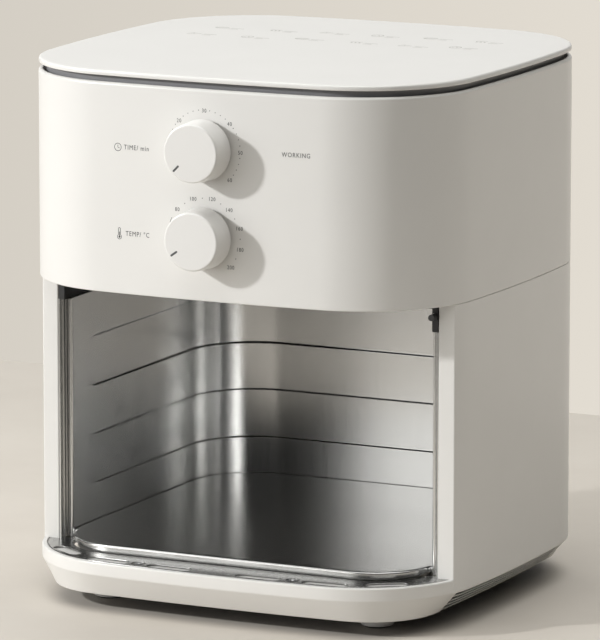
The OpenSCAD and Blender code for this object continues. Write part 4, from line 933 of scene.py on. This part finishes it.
def cavity_wall():
    """Steel wall of the cavity with its two pressed panels, and the rolled front edges."""
    bm = bmesh.new()
    step, ease, round_r = 0.8, 0.9, 7.5     # the panels' depth, the width of their edge, their corners
    low, high = SILL_Z + 0.1, LINER_TOP
    panels = [FLOOR_HIGH.z + PANEL_FIRST + i * PANEL_PITCH for i in (0, 1)]
    levels = {low, high}
    for z in panels:
        for edge in (z, z + PANEL_H):
            levels |= {edge + 0.25 * i for i in range(-3, 4)}
        levels |= {z + 1 + i for i in range(9)} | {z + PANEL_H - 1 - i for i in range(9)}
    levels = sorted(levels)

    def pressed(way, z):
        """How far the wall is pressed out at a way behind its front."""
        depth = 0
        for panel in panels:
            across = abs(z - panel - PANEL_H / 2) - PANEL_H / 2 + round_r
            along = PANEL_START + round_r - way
            outside = math.hypot(max(across, 0), max(along, 0)) + min(max(across, along), 0)
            share = min(1, max(0, (round_r - outside) / ease + 0.5))
            depth = max(depth, step * share * share * (3 - 2 * share))
        return depth

    grid = []
    for x, y, nx, ny in cavity_columns():
        depths = [pressed(y + CAVITY_FRONT, z) for z in levels]
        grid.append([bm.verts.new((x + nx * d, y + ny * d, z)) for d, z in zip(depths, levels)])
    for near, far in zip(grid, grid[1:]):
        for j in range(len(levels) - 1):
            bm.faces.new((near[j], far[j], far[j + 1], near[j + 1]))
    bm.normal_update()
    bmesh.ops.solidify(bm, geom=bm.faces[:], thickness=-SHEET)

    bead_r = 1.3
    bead = rounded([(0, low), (bead_r, low, 0.3), (bead_r, high, 0.3), (0, high)])
    for m in (-1, 1):
        lathe(bm, bead, (m * (CAVITY_X + bead_r / 2), -CAVITY_FRONT - 0.3, 0), steps=32)
        flange = rectangle(*sorted((m * (CAVITY_X + 0.4), m * (PILLAR_X - 2))),
                           -CAVITY_FRONT, SHEET - CAVITY_FRONT)
        prism(bm, flange, low, high)
    piece("cavity_wall", bm, "liner_steel", ["cavity_liner"], sharp=50)


def cavity_floor():
    """Floor pan with a rolled front edge that drops to the sill."""
    bm = bmesh.new()
    right = [(CAVITY_X, -CAVITY_FRONT)] + arc(*CAVITY_CORNER, CAVITY_R, 0, 90, 24)
    plan = floor_line(-CAVITY_FRONT)[::-1] + right + mirrored(right)
    low, foot, top = FLOOR_LOW.z, SILL_Z + 1.1, FLOOR_HIGH.z
    rim, neck = 2, 0.45         # how far the rim and the neck under its bead lie inside
    edge = rounded([(rim, low), (rim, foot), (neck, foot, 0.3), (neck, top - 2.3),
                    (0, top - 2.2), (0, top, 1.2), (2.8, top), (2.8, low)])
    sweep(bm, columns_of(plan), edge[:-1], loop=False)
    piece("floor_pan", bm, "liner_steel", ["liner_floor"])


def heater_frame():
    """Charcoal frame between cavity and head: a deck with a wide throat, and legs down to the liner."""
    bm = bmesh.new()
    throat = round_rectangle(CAVITY_X - 4, -PILLAR_Y, CAVITY_BACK - 4, CAVITY_R - 4)
    prism(bm, drawn_in(outline(), WALL + 0.3), SEAM_Z, SEAM_Z + DECK_T, [throat])

    def leg_line(x):
        return [(x, 0.2 - PILLAR_Y)] + arc(*CAVITY_CORNER, x - CAVITY_CORNER[0], 0, 90, 16)

    outer, inner = leg_line(PILLAR_X - 0.4), leg_line(PILLAR_X - 3.9)[::-1]
    prism(bm, outer + mirrored(outer) + mirrored(inner) + inner, LINER_TOP, SEAM_Z + 0.4)
    bore = bmesh.new()
    plunger, bore_r = middle("switch_plunger"), 1.95
    lathe(bore, [(0, -20), (bore_r, -20), (bore_r, 12), (0, 12)],
          (plunger.x, box_mm("switch_plunger")[0].y, plunger.z), "back")
    piece("heater_frame_finished", bm, "frame_black", ["heater_frame"], edge=0.5, cutter=bore)


def ceiling():
    """Ceiling plate with its round opening."""
    bm = bmesh.new()
    low, high = box_mm("ceiling_plate")
    plate, hole_r = round_rectangle(CAVITY_X + 2, -92, CAVITY_BACK - 1, CAVITY_R), 86
    prism(bm, plate, low.z, high.z, [circle(0, FAN_Y, hole_r, 96)])
    piece("ceiling_sheet", bm, "liner_steel", ["ceiling_plate"])


def chamber():
    """Round chamber over the ceiling's opening, with a flange and a hole for the shaft."""
    bm = bmesh.new()
    low, high = [corner.z for corner in box_mm("heat_chamber")]
    r, flange, hole = 95, 102, 8
    profile = rounded([
        (r - SHEET, low, 0.3), (flange, low, 0.3), (flange, low + SHEET, 0.3), (r, low + SHEET, 0.3),
        (r, high, 5), (hole, high, 0.2), (hole, high - SHEET, 0.2), (r - SHEET, high - SHEET, 4.2)])
    lathe(bm, profile, (0, FAN_Y, 0), steps=112, closed=True)
    piece("chamber_finished", bm, "chamber_steel", ["heat_chamber"])


def fan_guard():
    """Wire guard under the fan: five rings, six spokes and three tabs."""
    bm = bmesh.new()
    guard_r, wire, count = 82, 1.1, 5
    low = box_mm("fan_guard")[0].z + wire
    for i in range(1, count + 1):
        section = circle(guard_r * i / count, low, wire, 12)
        lathe(bm, section, (0, FAN_Y, 0), steps=96, closed=True)
    for i in range(6):
        tube(bm, [(*polar(0, FAN_Y, r, 30 + 60 * i), low + 0.7 * wire)
                  for r in (guard_r / count, guard_r)], 0.8 * wire)
    tab = rounded([(80, -5), (97, -5, 4), (97, 5, 4), (80, 5)])
    deck = SEAM_Z + DECK_T
    for angle in (90, 210, 330):
        prism(bm, turned(tab, angle, 0, FAN_Y), deck - 0.8, deck - 0.02)
    piece("guard_finished", bm, "guard_wire", ["fan_guard"], sharp=60)


def heating_coil():
    """Sheathed element in two turns, whose ends rise through the chamber's top."""
    bm = bmesh.new()
    low, high = box_mm("heating_coil")
    r, outer, inner = 3.25, 80, 62
    start, end = 290, 620
    bend = arc(*polar(0, FAN_Y, (outer + inner) / 2, end), (outer - inner) / 2, end, end + 180, 14)
    plan = arc(0, FAN_Y, outer, start, end, 120) + bend[1:-1] + arc(0, FAN_Y, inner, end, start, 100)
    level = low.z + r
    first, last = [[(*polar(0, FAN_Y, radius, start), z) for z in (level + 1.2, high.z)]
                   for radius in (outer, inner)]
    tube(bm, first[::-1] + [(x, y, level) for x, y in plan] + last, r)
    piece("coil_finished", bm, "coil_sheath", ["heating_coil"], sharp=60)


# Dials --------------------------------------------------------------------------------------

KNOB_R = 17
KNOB_FACE_R = 16.1
KNOB_FOOT = HALF_D + 1.1
KNOB_SHEET = 2.2            # thickness of the knob's face
GROOVE_IN, GROOVE_H = 1.4, 0.9      # shadow groove at the knob's foot
POINTER_IN = 9.8
POINTER_LEN = 4.9
POINTER_W = 1.2


def knob(name, node, z, rest, body):
    """Hollow knob with a soft front edge and a slot for its pointer, which rests at an angle."""
    bm = bmesh.new()
    tall = FACE_Y - KNOB_FOOT
    groove_r = KNOB_R - GROOVE_IN
    profile = rounded([
        (0, tall - KNOB_SHEET), (KNOB_FACE_R - 2.2, tall - KNOB_SHEET, 0.5),
        (groove_r - 1, 0, 0.2), (groove_r, 0, 0.2), (groove_r, GROOVE_H),
        (KNOB_R, GROOVE_H, 0.2), (KNOB_FACE_R, tall, 1.1), (0, tall)])
    lathe(bm, profile, (0, -KNOB_FOOT, z), "front", steps=128)
    slot = bmesh.new()
    line = slot_line(POINTER_IN + POINTER_LEN / 2, 0, POINTER_LEN, POINTER_W)
    prism(slot, turned(line, 90 - rest), -0.5, 1, (), (0, -FACE_Y, z), "front")
    piece(name, bm, "knob_white", [node], body, cutter=slot)


def on_front(u, v):
    """Where print at x = u, z = v lies on the bowed front."""
    return u, -front_at(u) - PRINT_PROUD, v


def on_lid(u, v):
    """Where print at x = u, y = v lies on the lid."""
    return u, v, LID_FACE + PRINT_PROUD


def on_dial(z, angle, r):
    """A place round a dial's axis, at an angle clockwise from the top."""
    return polar(0, z, r, 90 - angle)


CAPITAL = 0.69              # height of the built-in font's capitals, and how much they are narrowed
NARROW = 0.84


def letters(bm, words, tall, u, v, place, align="CENTER"):
    """Prints words whose capitals are tall mm high, centred in height on v."""
    text = bpy.data.curves.new("words", "FONT")
    text.body = words
    text.align_x = align
    text.resolution_u = 4
    text.space_character = 1.2
    scale = tall / CAPITAL
    take_in(bm, text, lambda p: place(u + p.x * scale * NARROW, v + p.y * scale - tall / 2))


def stroke(bm, points, width, place, closed=False):
    """Prints a line of even width through points."""
    sides = []
    last = len(points) - 1
    for i, p in enumerate(points):
        before = Vector(points[i - 1] if closed or i > 0 else p)
        after = Vector(points[(i + 1) % len(points)] if closed or i < last else p)
        way = (after - before).normalized()
        n = Vector((-way.y, way.x)) * width / 2
        sides.append([bm.verts.new(place(*(Vector(p) + n * m))) for m in (1, -1)])
    for i in range(len(points) if closed else last):
        near, far = sides[i], sides[(i + 1) % len(points)]
        bm.faces.new((near[0], near[1], far[1], far[0]))


def spot(bm, u, v, r, place):
    """Prints a round dot."""
    bm.faces.new([bm.verts.new(place(*p)) for p in circle(u, v, r, 12)])


def prints(name, bm, slot, ink):
    """Finishes flat prints as a piece, as thick as their ink so that they are closed."""
    bmesh.ops.remove_doubles(bm, verts=bm.verts[:], dist=0.0015)
    bmesh.ops.dissolve_degenerate(bm, edges=bm.edges[:], dist=0.0005)
    bmesh.ops.recalc_face_normals(bm, faces=bm.faces[:])
    bmesh.ops.solidify(bm, geom=bm.faces[:], thickness=INK)
    piece(name, bm, slot, ink=ink)


def dial_prints():
    """Numbers and dots round both dials, and a word and a small sign beside each."""
    bm = bmesh.new()
    dot, mark_r, tall = 0.25, 21.7, 2.1
    first, pitch = -135, 45             # the timer's numbers start here and are this far apart
    temp_first, temp_pitch = -49, 30.5
    for i in range(7):
        letters(bm, str(10 * i), tall, *on_dial(TIMER_Z - 0.3, first + pitch * i, mark_r), on_front)
        letters(bm, str(80 + 20 * i), tall,
                *on_dial(TEMP_Z, temp_first + temp_pitch * i, mark_r + 0.3), on_front)
    for i in range(6):
        spot(bm, *on_dial(TEMP_Z, temp_first + temp_pitch * (i + 0.5), mark_r - 0.1), dot, on_front)
        for k in range(1, 5):
            spot(bm, *on_dial(TIMER_Z, first + pitch * (i + k / 5), mark_r), dot, on_front)
    warm = [on_dial(TEMP_Z, angle, mark_r + 0.5) for angle in range(-124, -60, 4)]
    stroke(bm, warm, 0.22, on_front)

    letters(bm, "TIME/ min", 2.6, -49.8, TIMER_Z - 2, on_front, "LEFT")
    letters(bm, "TEMP/ °C", 2.6, -49, TEMP_Z - 1.4, on_front, "LEFT")
    letters(bm, "WORKING", 2.5, 54.6, TIMER_Z + 0.4, on_front)
    # a clock
    x, z = -53.6, TIMER_Z - 2.3
    stroke(bm, circle(x, z, 2.1, 36), 0.3, on_front, True)
    stroke(bm, [(x, z + 1.3), (x, z - 0.1), (x + 1, z - 0.5)], 0.3, on_front)
    # a thermometer
    x, z = -52.9, TEMP_Z - 3.6
    stroke(bm, arc(x, z + 4.4, 0.65, 0, 180, 10) + arc(x, z, 1.3, 120, 420, 20), 0.28, on_front, True)
    spot(bm, x, z, 0.6, on_front)
    stroke(bm, [(x, z), (x, z + 2.8)], 0.4, on_front)
    prints("dial_prints", bm, "pointer_grey", DIAL_INK)


SIGN_PLACES = [(-83, 29), (-49.5, 28.5), (-18, 35), (16, 34), (47, 34), (75, 40),
               (-80, 58), (-47, 60), (-16, 64), (15, 65), (47, 68), (78.5, 67)]


def lid_prints():
    """Faint plain signs along the lid, each beside two short bars."""
    bm = bmesh.new()
    line, sign_scale = 0.5, 1.35
    for i, (u, v) in enumerate(SIGN_PLACES):
        def on_sign(a, b):
            return on_lid(u - 3 + sign_scale * a, v + 2 + sign_scale * b)

        if i % 4 == 0:      # a slice
            stroke(bm, [(-3, -2), (3, 0), (-1.6, 2)], line, on_sign, True)
            spot(bm, -0.6, 0, 0.4, on_sign)
        elif i % 4 == 1:    # a ball
            stroke(bm, circle(0, 0, 2.5, 28), line, on_sign, True)
            for a, b in arc(0, 0, 1.1, 90, 330, 2):
                spot(bm, a, b, 0.35, on_sign)
        elif i % 4 == 2:    # a leaf
            stroke(bm, arc(0, -2.2, 3.7, 30, 150, 14) + arc(0, 1.5, 3.7, 210, 330, 14), line,
                   on_sign, True)
            stroke(bm, [(-3, -0.35), (2, -0.35)], line, on_sign)
        else:               # rising air
            for k in (-1.8, 0, 1.8):
                stroke(bm, [(k + 0.6 * math.sin(t * 0.9), t * 0.5 - 2) for t in range(9)], line,
                       on_sign)
        for k, length in ((1.2, 8), (-1.8, 5.5)):
            stroke(bm, [(u + 3, v + k), (u + 3 + length, v + k)], 0.9, on_lid)
    prints("lid_prints", bm, "white_shell", LID_INK)


# Rear ---------------------------------------------------------------------------------------

def gland():
    """Cord gland with a rounded collar round its bore."""
    bm = bmesh.new()
    low, high = box_mm("cord_gland")
    length = high.y - low.y
    bore, tube_r, collar_r, collar = 3.6, 6.4, 9, 3
    profile = rounded([
        (bore, 0, 0.3), (tube_r, 0, 0.3), (tube_r, length - collar),
        (collar_r, length - collar, 0.2), (collar_r, length - 0.8, 0.8), (6.2, length, 0.8),
        (bore, length, 0.5)])
    centre = middle("cord_gland")
    lathe(bm, profile, (centre.x, low.y, centre.z), "back", closed=True)
    piece("gland_finished", bm, "black_moulding", ["cord_gland"])


# Stage --------------------------------------------------------------------------------------

TABLE_BACK = 515            # how far the table reaches behind the middle, in front and to the sides
TABLE_FRONT = 520
TABLE_SIDE = 4000


def table():
    """Pale plain table top with faint clouds."""
    bm = bmesh.new()
    corners = rectangle(-TABLE_SIDE, TABLE_SIDE, -TABLE_FRONT, TABLE_BACK)
    bm.faces.new([bm.verts.new((x, y, 0)) for x, y in corners])
    floor = bpy.data.objects.new("table", plain_mesh("table", bm))
    material, tree, place = begin("table_top")
    cloud = add(tree, "TexNoise", {"Vector": place, "Scale": 1 / (160 * MM), "Detail": 6.0,
                                   "Roughness": 0.6})
    floor.data.materials.append(finish(material, cloud, "#C3BCB2", "#D8D2C9", {"Roughness": 0.6}))
    bpy.context.scene.collection.objects.link(floor)


def lamp():
    """One round soft lamp, low at the left front."""
    key = bpy.data.lights.new("key", "AREA")
    key.shape = "DISK"
    key.size = 0.09
    key.energy = 14.0
    obj = bpy.data.objects.new("key", key)
    way, distance = Vector((0.705, 0.61, -0.362)), 1.45
    obj.location = Vector((0, -0.14, 0.24)) - way * distance
    obj.rotation_euler = way.to_track_quat("-Z", "Y").to_euler()
    bpy.context.scene.collection.objects.link(obj)


def room():
    """A pale room that lights from above, with a wide window at the left front for the steel."""
    world = bpy.data.worlds.new("room")
    tree = empty_tree(world)
    way = add(tree, "TexCoord", {}).outputs["Generated"]
    x, y, z = add(tree, "SeparateXYZ", {"Vector": way}).outputs
    above = add(tree, "Math", {0: z, 1: 6.0}, operation="POWER")
    ahead = add(tree, "Math", {0: y, 1: -1.0}, operation="MULTIPLY")
    turn = add(tree, "Math", {0: x, 1: ahead}, operation="ARCTAN2")
    behind = add(tree, "VectorMath", {0: way, 1: (-0.5, 0.866, 0)}, operation="DOT_PRODUCT")
    # what each share goes by, the limits it runs between, its values there, and how it runs
    runs = {
        # the ceiling is bright, and the room gets dark towards eye level
        "ceiling": (above, 0, 1, 0.04, 3.3, "LINEAR"),
        # a wide low window at the left front, which the steel inside shows
        "window left": (turn, math.radians(-66), math.radians(-58), 0, 1, "SMOOTHSTEP"),
        "window right": (turn, math.radians(-8), math.radians(-20), 0, 1, "SMOOTHSTEP"),
        "window top": (z, 0.42, 0.3, 0, 1, "SMOOTHSTEP"),
        "window light": (turn, math.radians(-56), math.radians(-36), 3.6, 1.9, "LINEAR"),
        # a pale wall behind, which the lid shows at a low angle
        "wall": (behind, 0.84, 0.94, 0, 1, "SMOOTHSTEP"),
        "wall top": (z, 0.5, 0.35, 0, 0.72, "SMOOTHSTEP"),
        # below the table's level: the same wall, a little brighter to the right, and grey in front
        "low wall": (x, -0.5, -0.37, 0.64, 0.78, "LINEAR"),
        "low room": (y, -0.2, 0.3, 0.26, "low wall", "LINEAR"),
        "below": (z, -0.02, -0.05, 0, 1, "LINEAR"),
    }
    share = {}
    for name, (value, start, end, first, last, ease) in runs.items():
        share[name] = add(tree, "MapRange", {
            "Value": value, "From Min": start, "From Max": end, "To Min": first,
            "To Max": share.get(last, last)}, interpolation_type=ease)
    light = share["ceiling"]
    for first, *others in (("window left", "window right", "window top", "window light"),
                           ("wall", "wall top")):
        part = share[first]
        for name in others:
            part = add(tree, "Math", {0: part, 1: share[name]}, operation="MULTIPLY")
        light = add(tree, "Math", {0: light, 1: part}, operation="ADD")
    level = add(tree, "Mix", {"Factor": share["below"], "A": light, "B": share["low room"]})
    tint = add(tree, "Mix", {"Factor": share["below"], "A": colour("#FFFEFB"),
                             "B": colour("#FFF8EC")}, data_type="RGBA")
    surround = add(tree, "Background", {"Color": tint, "Strength": level})
    add(tree, "OutputWorld", {"Surface": surround})
    bpy.context.scene.world = world


def camera():
    """Long lens from the right front, a little above."""
    turn, rise, distance = math.radians(26.007), math.radians(10.367), 3383.6
    target = Vector((-3.62, -1.77, 150.74))
    way = Vector((math.sin(turn) * math.cos(rise), -math.cos(turn) * math.cos(rise), math.sin(rise)))
    lens = bpy.data.cameras.new("view")
    lens.lens = 337.5
    lens.sensor_width = 36
    eye = bpy.data.objects.new("view", lens)
    eye.location = (target + way * distance) * MM
    eye.rotation_euler = (-way).to_track_quat("-Z", "Y").to_euler()
    bpy.context.scene.collection.objects.link(eye)
    bpy.context.scene.camera = eye


for build in (camera, lower_housing, head_shell, lid, waist_band, sill, base, feet, cavity_wall,
              cavity_floor, heater_frame, ceiling, chamber, fan_guard, heating_coil):
    build()
knob("timer_knob_finished", "timer_knob", TIMER_Z, -135, "timer_dial")
knob("temp_knob_finished", "temp_knob", TEMP_Z, -125, "temperature_dial")
for build in (dial_prints, lid_prints, gland):
    build()
for strip in ("left_trim", "right_trim"):
    rounded_copy(strip, "liner_steel", 0.12)
rounded_copy("rear_hood", "white_shell", 0.4)
for build in (table, lamp, room):
    build()
bpy.context.scene.view_settings.view_transform = "Standard"
